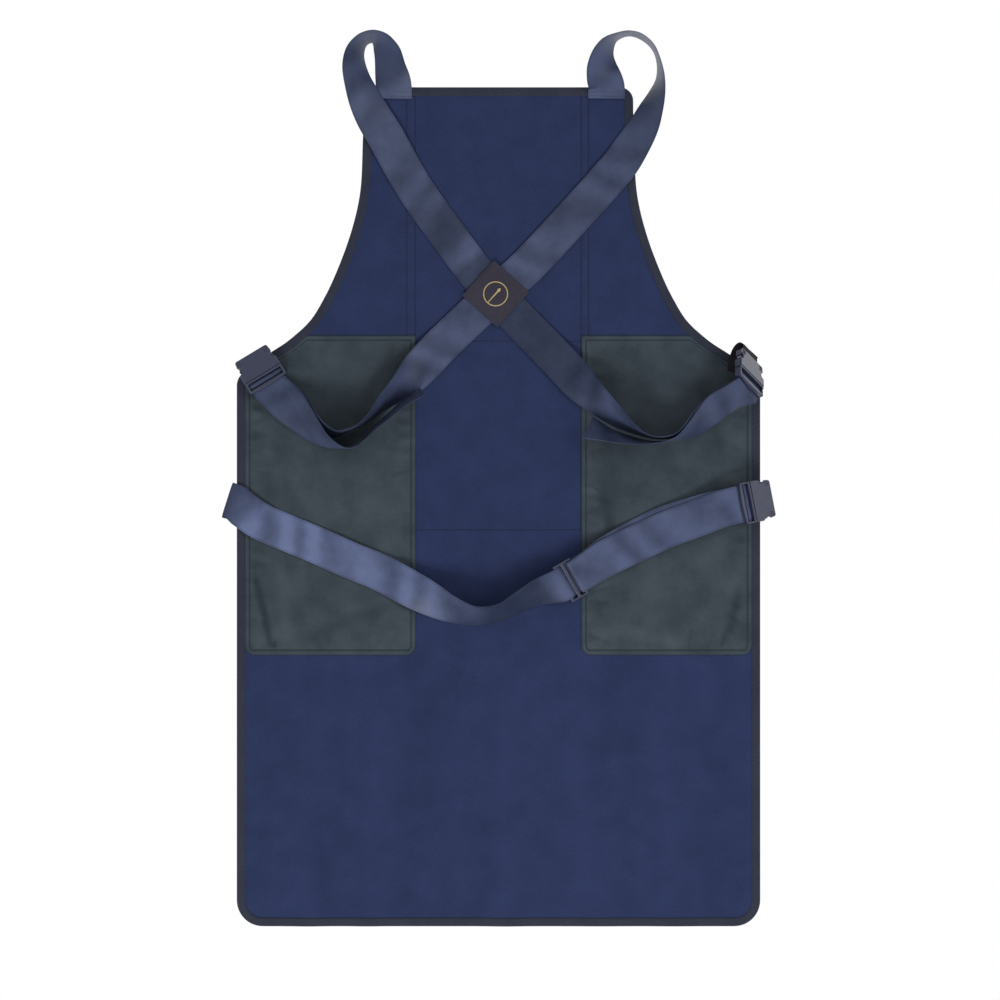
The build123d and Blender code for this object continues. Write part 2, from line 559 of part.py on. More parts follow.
# ---- assembly ---------------------------------------------------------------------------------------
def build():
    body, centre = panels()
    parts = {"main_panel": body, "centre_panel": centre}
    names = ("neck_binding", "left_armhole_binding", "right_armhole_binding", "skirt_binding")
    parts.update(zip(names, bindings()))
    parts["chest_pocket"] = front_pocket(CHEST_POCKET_Y, CHEST_POCKET_H, POCKET_HEM)
    parts["centre_pocket"] = front_pocket(CENTRE_SEAM_Y, CENTRE_POCKET_H - POCKET_HEM, POCKET_HEM)
    for name, side in (("left", -1), ("right", 1)):
        parts[f"{name}_pocket_bag"] = bag(side)
        parts[f"{name}_pocket_welt"] = welt(side, body)

    upper_left = hardware_plane(*UPPER_LEFT)
    upper_right = hardware_plane(*UPPER_RIGHT)
    waist_right = hardware_plane(*WAIST_RIGHT)
    slider = hardware_plane(*SLIDER)

    left = widths(LEFT_STRAP) + on_plane(upper_right, ladder_path()) + widths(LEFT_TAIL, -1)
    right = widths(RIGHT_STRAP) + on_plane(upper_left, ladder_path()) + widths(RIGHT_TAIL, -1)
    waist = (anchor_path() + widths(WAIST_LEFT) + on_plane(slider, slider_main_path())
             + widths(WAIST_TOP) + on_plane(waist_right, backwards(ladder_path()))
             + widths(WAIST_UNDER, -1) + on_plane(slider, slider_end_path()))
    parts["left_shoulder_strap"] = band(left, WEB_W, WEB_T)
    parts["right_shoulder_strap"] = band(right, WEB_W, WEB_T)
    parts["waist_strap"] = band(waist, WEB_W, WEB_T)

    parts["cross_patch_backing"] = patch(CLOTH_TOP + 0.05, PATCH_BACK_T, PATCH)
    patch_z = 4.5 + WEB_T / 2 + 0.05
    parts["cross_patch"] = patch(patch_z, PATCH_T, PATCH)
    parts["patch_emblem"] = emblem(patch_z + PATCH_T)

    offset_v = (SLIDER_SLOT - WEB_W) / 2 - 0.2
    parts["strap_slider"] = slider * Pos(0, -offset_v, 0) * slider_frame()
    for name, plane in (("upper_left", upper_left), ("upper_right", upper_right), ("waist", waist_right)):
        parts[f"{name}_buckle_male"] = plane * buckle_male()
        parts[f"{name}_buckle_prong_a"] = plane * buckle_prong(1)
        parts[f"{name}_buckle_prong_b"] = plane * buckle_prong(-1)
        parts[f"{name}_buckle_female"] = plane * buckle_female()
    parts["upper_left_buckle_tab"] = flat_tab(upper_left)
    parts["waist_buckle_tab"] = flat_tab(waist_right)
    parts["upper_right_buckle_tab"] = standing_tab(upper_right)
    return parts


def main():
    parts = build()
    boxes = [shape.bounding_box() for shape in parts.values()]
    mid_x = (min(b.min.X for b in boxes) + max(b.max.X for b in boxes)) / 2
    mid_y = (min(b.min.Y for b in boxes) + max(b.max.Y for b in boxes)) / 2
    os.makedirs("parts", exist_ok=True)
    for name, shape in parts.items():
        export_step(Pos(-mid_x, -mid_y, 0) * shape, f"parts/{name}.step")
    print("middle of the box:", round(mid_x, 3), round(mid_y, 3))


main()
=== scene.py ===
# %% [markdown]
# # A cross-back artist's apron, laid flat
#
# The apron lies with its front side down, so the wearer's side, its crossed straps and its two
# hanging pocket bags face up. Cloth panels, bags, edge binding, webbing and moulded buckles are
# each built as their own piece from formulas, on top of a fixed CAD frame. Shapes are worked out
# in millimetres, with X = 0 on the body's middle line and Y = 0 at its hem.

# %% Load the frame
import math

import bpy
import numpy as np
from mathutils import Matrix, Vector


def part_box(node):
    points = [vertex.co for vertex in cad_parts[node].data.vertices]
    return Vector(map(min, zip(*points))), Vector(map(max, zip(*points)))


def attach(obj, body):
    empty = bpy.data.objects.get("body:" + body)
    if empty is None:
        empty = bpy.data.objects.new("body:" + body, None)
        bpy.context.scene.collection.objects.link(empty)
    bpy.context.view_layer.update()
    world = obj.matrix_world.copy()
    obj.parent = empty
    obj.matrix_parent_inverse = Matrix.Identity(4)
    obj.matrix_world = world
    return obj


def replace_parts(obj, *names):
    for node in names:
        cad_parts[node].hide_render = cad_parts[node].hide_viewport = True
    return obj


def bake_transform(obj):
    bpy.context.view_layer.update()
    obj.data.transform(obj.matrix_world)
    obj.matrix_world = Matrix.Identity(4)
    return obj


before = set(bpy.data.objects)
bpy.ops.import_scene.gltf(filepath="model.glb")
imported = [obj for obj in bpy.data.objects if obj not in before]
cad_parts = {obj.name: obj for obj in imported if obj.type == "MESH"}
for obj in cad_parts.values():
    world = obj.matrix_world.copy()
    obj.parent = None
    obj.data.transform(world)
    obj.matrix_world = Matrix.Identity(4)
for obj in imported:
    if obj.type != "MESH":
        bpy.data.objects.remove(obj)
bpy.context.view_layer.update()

# %% [markdown]
# ## Sizes and the move into the frame
# A garment is drafted from its hem and its middle line, while the frame has its zero at the
# middle of its box. The middle line and the hem of the body cloth, measured in the frame, give
# the move between the two: row = (garment + shift) / 1000.

# %% Sizes
low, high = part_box("main_panel")
SHIFT = np.array([(low.x + high.x) * 500, low.y * 1000, 0.0])
BODY_W, BODY_L, BIB_W, DROP = 542.0, 870.0, 278.0, 308.0
BIB_R, HEM_R = 13.0, 26.0
SEAM_X, CENTRE_Y = 90.0, 411.0
BIND_IN, BIND_OUT = 8.0, 1.0
CLOTH_MID, CLOTH_T = 1.6, 0.8
WEB_W, WEB_T = 38.0, 1.1
TAPE_W, TAPE_T = 28.0, 1.0
MOUTH = (436.0, 600.0, 22.0)
BAG = dict(x_in=86.0, bottom=281.0, top=613.0, margin=7.4, radius=11.0)


def to_row(points):
    """Garment millimetres to frame metres."""
    return (np.asarray(points, float) + SHIFT) / 1000


def smoothstep(a, b, x):
    """0 before a, 1 after b, and 3t^2 - 2t^3 between them."""
    t = np.clip((np.asarray(x, float) - a) / (b - a), 0, 1)
    return t * t * (3 - 2 * t)


def unit(v):
    """Rows scaled to length one."""
    return v / np.maximum(np.linalg.norm(v, axis=-1, keepdims=True), 1e-12)


print("shift in mm:", SHIFT.round(2))

# %% [markdown]
# ## Mesh helpers
# Cloth and webbing are thin, and moulded parts are prisms. They could be pulled from primitives
# with modifiers, but a formula on a grid puts every edge exactly where the frame has it. A grid
# of points becomes quads; a sheet is the grid moved half a thickness to each side of its own
# normals and closed along the rim; a tube is a skin over rings.

# %% Mesh helpers
SHARP = math.radians(55)


def make_object(name, points, faces, body=None, flat=False, **values):
    """A mesh object from garment millimetres, with one number per point for each named value."""
    name = name.replace(" ", "_")
    mesh = bpy.data.meshes.new(name)
    mesh.from_pydata(to_row(points).tolist(), [], [list(map(int, f)) for f in faces])
    for key, column in values.items():
        attribute = mesh.attributes.new(key, "FLOAT", "POINT")
        attribute.data.foreach_set("value", np.asarray(column, np.float32).ravel())
    mesh.polygons.foreach_set("use_smooth", [not flat] * len(mesh.polygons))
    mesh.update()
    if not flat:
        mesh.set_sharp_from_angle(angle=SHARP)
    obj = bpy.data.objects.new(name, mesh)
    bpy.context.collection.objects.link(obj)
    if body:
        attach(obj, body)
    return obj


def grid_faces(rows, cols, wrap=False, start=0):
    """Quads of a rows x cols grid of points; wrap joins the last column to the first."""
    r, c = np.meshgrid(np.arange(rows - 1), np.arange(cols if wrap else cols - 1), indexing="ij")
    nxt = (c + 1) % cols
    quads = np.stack([r * cols + c, r * cols + nxt, (r + 1) * cols + nxt, (r + 1) * cols + c], -1)
    return (quads.reshape(-1, 4) + start).tolist()


def grid_normals(grid):
    """Unit normals of a grid of points, from central differences."""
    du = np.gradient(grid, axis=0)
    dv = np.gradient(grid, axis=1)
    return unit(np.cross(dv, du))


def sheet_mesh(grid, thick):
    """Points and faces of a grid given a thickness, closed at the rim; the front faces +normal."""
    rows, cols = grid.shape[:2]
    normal = grid_normals(grid)
    if normal[..., 2].mean() < 0:
        normal = -normal
    top = (grid + normal * thick / 2).reshape(-1, 3)
    under = (grid - normal * thick / 2).reshape(-1, 3)
    count = rows * cols
    faces = grid_faces(rows, cols)
    sample = np.cross(top[faces[0][1]] - top[faces[0][0]], top[faces[0][2]] - top[faces[0][0]])
    flip = sample[2] < 0
    front = [f[::-1] if flip else f for f in faces]
    back = [[i + count for i in f[::-1]] for f in front]
    index = np.arange(count).reshape(rows, cols)
    rim = np.concatenate([index[0, :], index[1:, -1], index[-1, -2::-1], index[-2:0:-1, 0]])
    ahead = np.roll(rim, -1)
    quads = np.stack([rim, ahead, ahead + count, rim + count], -1)
    side = (quads if flip else quads[:, ::-1]).tolist()
    return np.vstack([top, under]), front + back + side


def tube_mesh(rings, closed=False):
    """Points and faces of a skin over rings of equal count, capped at both ends unless closed."""
    n, m = rings.shape[:2]
    points = rings.reshape(-1, 3)
    faces = grid_faces(n, m, wrap=True)
    if closed:
        last = (n - 1) * m
        faces += [[last + i, last + (i + 1) % m, (i + 1) % m, i] for i in range(m)]
    else:
        faces += [list(range(m))[::-1], list(range((n - 1) * m, n * m))]
    centre = rings[n // 2].mean(0)
    ahead = rings[min(n // 2 + 1, n - 1)].mean(0) - centre
    turn = np.cross(rings[n // 2][0] - centre, rings[n // 2][1] - centre)
    if np.dot(turn, ahead) > 0:
        faces = [f[::-1] for f in faces]
    return points, faces


def merge(parts):
    """Several (points, faces) pairs as one."""
    points, faces, start = [], [], 0
    for p, f in parts:
        points.append(p)
        faces += [[i + start for i in face] for face in f]
        start += len(p)
    return np.vstack(points), faces


# %% [markdown]
# ## Shader arithmetic
# A weave is ribs, uneven threads and mottling added together. Wiring that by hand takes dozens of
# nodes, so a small wrapper lets sockets be added and multiplied like numbers, and every node
# comes from one function: its settings first, then its values and links.

# %% Shader arithmetic


def shader_node(tree, kind, settings=None, inputs=None):
    """A node of this kind with its settings set first, then each socket's value or link."""
    node = tree.nodes.new(kind)
    for key, value in (settings or {}).items():
        setattr(node, key, value)
    for slot, value in (inputs or {}).items():
        if isinstance(value, Socket):
            tree.links.new(value.out, node.inputs[slot])
        else:
            node.inputs[slot].default_value = value
    return node


class Socket:
    """An output socket that takes part in arithmetic; each operation adds one Math node."""

    def __init__(self, tree, out):
        self.tree, self.out = tree, out

    def math(self, kind, *values):
        """A Math node over these values, in order."""
        node = shader_node(self.tree, "ShaderNodeMath", {"operation": kind}, dict(enumerate(values)))
        return Socket(self.tree, node.outputs[0])

    def __add__(self, other):
        return self.math("ADD", self, other)

    def __sub__(self, other):
        return self.math("SUBTRACT", self, other)

    def __mul__(self, other):
        return self.math("MULTIPLY", self, other)

    def __radd__(self, other):
        return self.math("ADD", other, self)

    def __rsub__(self, other):
        return self.math("SUBTRACT", other, self)

    def __rmul__(self, other):
        return self.math("MULTIPLY", other, self)

    def sin(self):
        return self.math("SINE", self)

    def abs(self):
        return self.math("ABSOLUTE", self)

    def ramp(self, a, b):
        """0 below a, 1 above b, smooth between."""
        node = shader_node(self.tree, "ShaderNodeMapRange", {"interpolation_type": "SMOOTHSTEP"},
                           {"Value": self, "From Min": a, "From Max": b})
        return Socket(self.tree, node.outputs["Result"])


# the colour sockets of a Mix node, which share their names with its number and vector sockets
MIX_A, MIX_B, MIX_RESULT = 6, 7, 2


class Material:
    """A Principled material built with Socket arithmetic."""

    def __init__(self, name, **constants):
        self.mat = bpy.data.materials.new(name)
        self.mat.use_nodes = True
        self.tree = self.mat.node_tree
        self.shader = self.tree.nodes["Principled BSDF"]
        for key, value in constants.items():
            self.shader.inputs[key.replace("_", " ")].default_value = value
        self.place = self.output("ShaderNodeTexCoord", "Object")

    def output(self, kind, out=0, settings=None, inputs=None):
        """One output of a new node, ready for arithmetic."""
        return Socket(self.tree, shader_node(self.tree, kind, settings, inputs).outputs[out])

    def axes(self):
        """Object X, Y and Z in millimetres."""
        node = shader_node(self.tree, "ShaderNodeSeparateXYZ", inputs={0: self.place})
        return [Socket(self.tree, out) * 1000.0 for out in node.outputs]

    def value(self, name):
        """A number stored on the mesh."""
        return self.output("ShaderNodeAttribute", "Fac", {"attribute_name": name})

    def noise(self, per_mm, detail=2.0, stretch=(1, 1, 1)):
        """Noise with this many features per millimetre."""
        place = self.output("ShaderNodeVectorMath", 0, {"operation": "MULTIPLY"},
                            {0: self.place, 1: [1000.0 * s for s in stretch]})
        return self.output("ShaderNodeTexNoise", 0, None,
                           {"Vector": place, "Scale": per_mm, "Detail": detail})

    def mix(self, factor, a, b):
        """Colour a where factor is 0 and b where it is 1."""
        ends = [c if isinstance(c, Socket) else (*c, 1.0) for c in (a, b)]
        return self.output("ShaderNodeMix", MIX_RESULT, {"data_type": "RGBA"},
                           {"Factor": factor, MIX_A: ends[0], MIX_B: ends[1]})

    def put(self, slot, source):
        """Links a socket to one of the shader's own."""
        self.tree.links.new(source.out, self.shader.inputs[slot])

    def bump(self, height, distance_mm, strength=1.0):
        """Bump from a 0..1 height over this many millimetres."""
        self.put("Normal", self.output("ShaderNodeBump", 0, None, {
            "Height": height, "Strength": strength, "Distance": distance_mm / 1000}))


def coat(obj, material):
    """Gives an object its material."""
    obj.data.materials.clear()
    obj.data.materials.append(material.mat)
    return obj


# %% [markdown]
# ## Cloth
# The body is a navy twill, the bags a thin dark slate lining, the edges a dark binding. A woven
# cloth could be an image of cloth wrapped round it, but that blurs close by. Here sine ribs make
# the weave, stretched noise the uneven threads, and broad noise the mottling, so it stays sharp.
# The needle lines of the seams go in as colour too, and so does painted light: upright streaks of
# painted shade and light over the skirt's folds, painted shade along the bags' rims, and painted
# shade and light along their creases.

# %% Cloth materials
SEAM_LINES, LEVEL_LINES = (-95.5, -86.5, 86.0, 93.5), (607.0, 411.0)


def sewn_lines(mat, colour, uprights, levels, dark):
    """Darker needle lines in a colour: uprights at these x, levels at these y between the seams."""
    x, y, _ = mat.axes()
    x, y = x - float(SHIFT[0]), y - float(SHIFT[1])
    line = None
    for at in uprights:
        near = (1.0 - (x - at).abs().ramp(0.25, 1.1)) * y.ramp(CENTRE_Y - 2.0, CENTRE_Y)
        line = near if line is None else line + near
    for at in levels:
        line = line + (1.0 - (y - at).abs().ramp(0.25, 1.1)) * (1.0 - x.abs().ramp(86.0, 88.0))
    return mat.mix(line * 0.75, colour, dark)


def woven(name, dark, light, pitch, slope, depth, sheen, rough=0.85, lines=None, rim=None):
    """Twill or plain cloth: fine ribs along a slope, uneven threads and broad, faint mottling."""
    mat = Material(name, Roughness=rough, Sheen_Weight=sheen, Sheen_Roughness=0.4,
                   Specular_IOR_Level=0.25)
    x, y, _ = mat.axes()
    thread = mat.noise(0.9, 2.0, (0.25, 1.0, 1.0))
    rib = ((x + y * slope) * (2 * math.pi / pitch)).sin() * 0.5 + 0.5
    mottle_and_shade = mat.noise(0.035, 3.0)
    grain = mat.noise(0.6, 1.0)
    fine = 0.35 if rim else 1.0
    if lines:
        # on the twill only: upright noise streaks of painted shade and light in the skirt stand in for
        # the shading of its folds, and are added to the mottling
        painted_drape = mat.noise(0.016, 2.0, (1.0, 0.14, 1.0)) - 0.5
        mottle_and_shade = mottle_and_shade + painted_drape * (1.0 - y.ramp(-200.0, -150.0)) * 1.1
    tone = (rib * 0.25 + (thread - 0.5) * 0.35 * fine + mottle_and_shade * 0.45
            + (grain - 0.5) * 0.25 * fine + 0.3)
    colour = mat.mix(tone.ramp(0.3, 1.0), dark, light)
    if lines:
        colour = sewn_lines(mat, colour, *lines, tuple(c * 0.45 for c in dark))
    # on the lining: a dark needle line at the stitch groove, deepened as painted shade, and painted
    # shade along the very edge of the bag where it meets the cloth
    if rim:
        depth_in = mat.value(rim)
        line = ((1.0 - (depth_in - 4.9).abs().ramp(0.3, 1.3)) * 0.75
                + (1.0 - depth_in.ramp(0.3, 1.6)) * 0.7)
        colour = mat.mix(line, colour, dark)
        # painted shade where a crease sinks and painted light where it rises, read from the mesh
        painted_crease = mat.value("crease")
        colour = mat.mix(painted_crease.ramp(0.0, 1.0) * 0.8, colour, dark)
        colour = mat.mix((painted_crease * -1.0).ramp(0.0, 1.0) * 0.45, colour, light)
    mat.put("Base Color", colour)
    mat.bump(rib * 0.6 + thread * 0.6, depth, 0.6)
    return mat


CLOTH = woven("navy twill", (0.0088, 0.0168, 0.058), (0.0200, 0.0325, 0.100), 1.25, 0.55, 0.10,
              0.25, lines=(SEAM_LINES, LEVEL_LINES))
LINING = woven("pocket lining", (0.007, 0.015, 0.023), (0.058, 0.078, 0.096), 0.9, 0.0, 0.07,
               0.10, 0.7, rim="rim")
BINDING = woven("edge binding", (0.015, 0.019, 0.034), (0.030, 0.035, 0.055), 1.1, 0.2, 0.10, 0.15)
PATCH = woven("patch weave", (0.020, 0.018, 0.030), (0.042, 0.038, 0.056), 1.0, 1.0, 0.08, 0.1)
THREAD = Material("sewing thread", Roughness=0.6, Base_Color=(0.022, 0.031, 0.080, 1.0))
DARK_THREAD = Material("dark thread", Roughness=0.6, Base_Color=(0.022, 0.026, 0.045, 1.0))
GOLD = Material("gold thread", Roughness=0.45, Base_Color=(0.42, 0.33, 0.14, 1.0))

# %% [markdown]
# ## Webbing and plastic
# Satin webbing shines in patches that follow how the strap lies, and a flat light does not bring
# them out, so the highlights are painted: each strap carries a painted shine number along its
# length, and its colour runs from a shaded tone to a lit tone as the number rises, with painted
# glints along it. Ribs run on the strap's own length and width, so they turn with it. The buckles
# are a plain moulded plastic with a thin clear coat and a fine grain.

# %% Webbing and plastic
# shaded and lit tones of each webbing: the painted shine moves its colour from the first towards the
# second, as does the weave's tone
SATIN_SHADE_TO_SHINE = (0.014, 0.021, 0.046), (0.120, 0.150, 0.278)
GROSGRAIN_SHADE_TO_SHINE = (0.006, 0.006, 0.009), (0.040, 0.040, 0.052)
PLASTIC_TONES = (0.019, 0.024, 0.056), (0.031, 0.037, 0.078)


def webbing(name, dark, light, rough, pitch, ribbed):
    """Webbing: slanted ribs that meet at the middle line, or cross ribs, with firm selvedges."""
    mat = Material(name, Roughness=rough, Specular_IOR_Level=0.2, Sheen_Weight=0.02,
                   Sheen_Roughness=0.35, Anisotropic=0.3)
    along, across = mat.value("along"), mat.value("across")
    lean = across.abs() * (0.0 if ribbed else 0.8)
    rib = ((along + lean) * (2 * math.pi / pitch)).sin() * 0.5 + 0.5
    fine = (across * (2 * math.pi / 1.1)).sin() * 0.5 + 0.5
    edge = across.abs().ramp(16.8, 17.4) - across.abs().ramp(17.8, 18.4) * 0.7
    cloud = mat.noise(0.06, 2.0)
    # fine streaks in the weave's tone: partly the weave, partly painted thread glints
    streak = mat.noise(0.5, 2.0, (0.3, 0.3, 1.0))
    # painted highlights: a wandering wave of glints and broad cloud patches scale the strap's painted
    # shine, which lifts its colour towards the lit tone
    wave = (along * (2 * math.pi / 131)).sin() * 1.7
    gleam = (along * (2 * math.pi / 47) + across * 0.07 + wave).sin() * 0.30
    gloss = mat.value("gloss") * (gleam + (cloud - 0.5) * 0.7 + 1.0)
    tone = rib * 0.35 + fine * 0.15 + cloud * 0.2 + streak * 0.3
    colour = mat.mix((tone - 0.5) * 0.34 + gloss + 0.01, dark, light)
    mat.put("Base Color", mat.mix(edge * 0.35, colour, dark))
    mat.put("Roughness", cloud * 0.2 + (rough - 0.1))
    mat.bump(rib * 0.7 + fine * 0.3 - edge * 0.5, 0.12, 0.55)
    return mat


WEB = webbing("satin webbing", *SATIN_SHADE_TO_SHINE, 0.42, 1.6, False)
TAPE = webbing("grosgrain tape", *GROSGRAIN_SHADE_TO_SHINE, 0.7, 1.5, True)
PLASTIC = Material("moulded plastic", Specular_IOR_Level=0.55, Roughness=0.3, Coat_Weight=0.5,
                   Coat_Roughness=0.18)
PLASTIC.put("Base Color", PLASTIC.mix(PLASTIC.noise(0.25, 2.0), *PLASTIC_TONES))
PLASTIC.bump(PLASTIC.noise(2.0, 1.0), 0.04, 0.3)
print("materials:", len(bpy.data.materials))

# %% [markdown]
# ## The cloth body
# The apron's body is cut in one piece below, with a separate centre column above between two long
# seams. A cloth simulation could drop it on the ground, but it lies nearly flat and has to keep
# its cut outline. So half the width at each height gives the outline: rounded hem corners,
# straight sides, curved armholes and the bib. A height formula adds soft upright folds in the
# skirt and small puckers along the seams.

# %% Outline and cloth height
NECK_N, CORNER_N, ARM_N, SIDE_N = 23, 12, 90, 60
ARMHOLE = [(0.0, 0.05), (0.008, 0.175), (0.038, 0.377), (0.12, 0.513), (0.174, 0.577),
           (0.318, 0.714), (0.417, 0.783), (0.583, 0.85), (0.84, 0.926), (1.0, 1.0)]


def curve_points(points, start, end, n):
    """A smooth curve through points with given end directions: cubic Hermite on chord lengths."""
    p = np.asarray(points, float)
    chord = np.r_[0, np.cumsum(np.linalg.norm(np.diff(p, axis=0), axis=1))]
    m = np.gradient(p, chord, axis=0)
    m[0], m[-1] = start, end
    s = np.linspace(0, chord[-1], n)
    i = np.clip(np.searchsorted(chord, s, side="right") - 1, 0, len(p) - 2)
    h = (chord[i + 1] - chord[i])[:, None]
    t = ((s - chord[i])[:, None]) / h
    return ((2 * t**3 - 3 * t**2 + 1) * p[i] + (t**3 - 2 * t**2 + t) * h * m[i]
            + (3 * t**2 - 2 * t**3) * p[i + 1] + (t**3 - t**2) * h * m[i + 1])


def arc(cx, cy, r, a0, a1, n):
    """Points of an arc, angles in degrees."""
    a = np.radians(np.linspace(a0, a1, n))
    return np.c_[cx + r * np.cos(a), cy + r * np.sin(a)]


bib, side = BIB_W / 2, BODY_W / 2
armhole = curve_points([(bib + (side - bib) * fx, BODY_L - DROP * fy) for fx, fy in ARMHOLE],
                       (0, -1), (0, -1), ARM_N)
RIGHT_EDGE = np.vstack([
    np.c_[np.linspace(0, bib - BIB_R, NECK_N + 1)[:-1], np.full(NECK_N, BODY_L)],
    arc(bib - BIB_R, BODY_L - BIB_R, BIB_R, 90, 0, CORNER_N),
    armhole,
    np.c_[np.full(SIDE_N, side), np.linspace(BODY_L - DROP, HEM_R, SIDE_N + 2)[1:-1]],
    arc(side - HEM_R, HEM_R, HEM_R, 0, -90, 16),
    np.c_[np.linspace(side - HEM_R, 0, 40)[1:], np.zeros(39)],
])


def half_width(y, inset=0.0):
    """Half the body's width at height y, with the outline moved inward by inset."""
    p = RIGHT_EDGE
    t = unit(np.gradient(p, axis=0))
    q = p + np.c_[t[:, 1], -t[:, 0]] * inset
    q = q[(q[:, 0] > 1) | (np.abs(q[:, 1] - BODY_L / 2) < BODY_L / 2 - 1)]
    order = np.argsort(q[:, 1])
    return np.interp(y, q[order, 1], q[order, 0])


# upright folds of the skirt: place, width, height and lean
FOLDS = [(-204, 18, 4.2, 0.02), (-128, 15, 3.4, -0.03), (4, 20, 4.6, 0.01), (96, 24, 2.6, 0.04),
         (188, 22, 3.0, -0.02)]


def cloth_z(x, y):
    """Height of the middle of the body cloth over the ground."""
    x, y = np.asarray(x, float), np.asarray(y, float)
    skirt = smoothstep(292, 200, y) * (0.55 + 0.45 * smoothstep(0, 60, y))
    z = np.full(np.broadcast(x, y).shape, CLOTH_MID)
    for at, wide, high, lean in FOLDS:
        z = z + skirt * high * np.exp(-((x - at - lean * (280 - y)) / wide) ** 2)
    broad = np.sin(x / 37 + 1.3 * np.sin(y / 61)) * np.sin(y / 49 + 0.8 * np.sin(x / 83))
    z = z + 0.22 * (1 + broad) * smoothstep(120, 200, np.hypot(x, (y - 656) / 1.4))
    seam = np.exp(-((np.abs(x) - 90.5) / 3.4) ** 4) * smoothstep(270, 285, y)
    z = z + seam * (0.35 + 0.14 * np.sin(y / 2.3 + 0.6 * np.sin(y / 19)))
    level = np.exp(-((y - 607) / 2.6) ** 2) + np.exp(-((y - 413) / 2.6) ** 2)
    z = z + 0.25 * level * (np.abs(x) < 88)
    return z


def mouth_depth(y):
    """How far the pocket mouth, an arc of a circle, is cut in from the seam at height y."""
    y0, y1, deep = MOUTH
    half = (y1 - y0) / 2
    r = (half**2 + deep**2) / (2 * deep)
    d = np.abs(np.asarray(y, float) - (y0 + y1) / 2)
    cut = np.sqrt(np.maximum(r**2 - np.minimum(d, half) ** 2, 0)) - (r - deep)
    return np.where(d < half, cut, 0)


# %% The body cloth and the centre panel


def rows_of_y(lo, hi, step, fine):
    """Heights between lo and hi, closer together near the given places."""
    y = np.arange(lo, hi, step)
    for at, reach in fine:
        y = np.r_[y, at + np.linspace(-reach, reach, 13)]
    y = np.unique(np.r_[y, lo, hi].round(3))
    return y[(y >= lo) & (y <= hi)]


def panel_grid(y, x_lo, x_hi, n):
    """A grid between two edges at each height."""
    t = np.linspace(0, 1, n)
    x = x_lo[:, None] + (x_hi - x_lo)[:, None] * t
    yy = np.repeat(y[:, None], n, 1)
    return np.stack([x, yy, cloth_z(x, yy)], -1)


y_corner = HEM_R - HEM_R * np.cos(np.linspace(0, np.pi / 2, 14))
y_bib = BODY_L - BIB_R + BIB_R * np.sin(np.linspace(0, np.pi / 2, 9))
y_straight = rows_of_y(HEM_R, BODY_L - BIB_R, 5.0, [(607, 6), (CENTRE_Y, 5), (570, 20)])
y_all = np.unique(np.r_[y_straight, y_corner, y_bib, CENTRE_Y].round(3))
hw = half_width(y_all)
hw[0], hw[-1] = side - HEM_R, bib - BIB_R
pieces = []
for sign in (-1, 1):
    inner = sign * (SEAM_X + mouth_depth(y_all))
    pieces.append(sheet_mesh(panel_grid(y_all, inner, sign * hw, 56), CLOTH_T))
low_rows = y_all[y_all <= CENTRE_Y]
edge = np.full(len(low_rows), SEAM_X)
pieces.append(sheet_mesh(panel_grid(low_rows, -edge, edge, 66), CLOTH_T))
body_cloth = make_object("body cloth", *merge(pieces), body="apron")
high_rows = y_all[y_all >= CENTRE_Y]
edge = np.full(len(high_rows), SEAM_X)
column = sheet_mesh(panel_grid(high_rows, -edge, edge, 66), CLOTH_T)
centre = make_object("centre panel cloth", *column, body="apron")
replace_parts(coat(body_cloth, CLOTH), "main_panel")
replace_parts(coat(centre, CLOTH), "centre_panel")
print("body cloth points:", len(body_cloth.data.vertices), "centre:", len(centre.data.vertices))

# %% [markdown]
# ## Edge binding
# A folded tape is sewn over the raw edge all the way round. A bevelled curve could follow the
# outline, but its width has to stay level with the cloth, so a flattened tube carries its own
# outward direction along the edge and takes its height from the cloth under it.

# %% Binding
BIND_T = 2.9


def flat_ring(path, out, width, thick, power=4.0, n=18):
    """Rings of a flattened tube: a superellipse width x thick, its width along out."""
    a = np.linspace(0, 2 * np.pi, n, endpoint=False)
    ca = np.sign(np.cos(a)) * np.abs(np.cos(a)) ** (2 / power)
    sa = np.sign(np.sin(a)) * np.abs(np.sin(a)) ** (2 / power)
    up = np.array([0.0, 0.0, 1.0])
    return (path[:, None] + out[:, None] * (ca * width / 2)[:, None]
            + up * (sa * thick / 2)[:, None])


def outline_run(i0, i1, sign, step=2.5):
    """Points along a stretch of the outline and the directions out of the body."""
    p = RIGHT_EDGE[i0:i1 + 1]
    t = unit(np.gradient(RIGHT_EDGE, axis=0))[i0:i1 + 1]
    s = np.r_[0, np.cumsum(np.linalg.norm(np.diff(p, axis=0), axis=1))]
    at = np.linspace(0, s[-1], max(4, int(s[-1] / step)))
    q = np.c_[np.interp(at, s, p[:, 0]), np.interp(at, s, p[:, 1])]
    n = unit(np.c_[-np.interp(at, s, t[:, 1]), np.interp(at, s, t[:, 0])])
    return q * [sign, 1], n * [sign, 1], at


def binding(name, runs, node):
    """One bound edge made of outline runs joined end to end."""
    p = np.vstack([r[0] for r in runs])
    n = np.vstack([r[1] for r in runs])
    middle = p + n * (BIND_OUT - BIND_IN) / 2
    z = cloth_z(middle[:, 0], middle[:, 1])
    path = np.c_[middle, z]
    out = np.c_[n, np.zeros(len(n))]
    rings = flat_ring(path, out, BIND_IN + BIND_OUT, BIND_T)
    obj = make_object(name, *tube_mesh(rings), body="apron")
    coat(obj, BINDING)
    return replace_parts(obj, node)


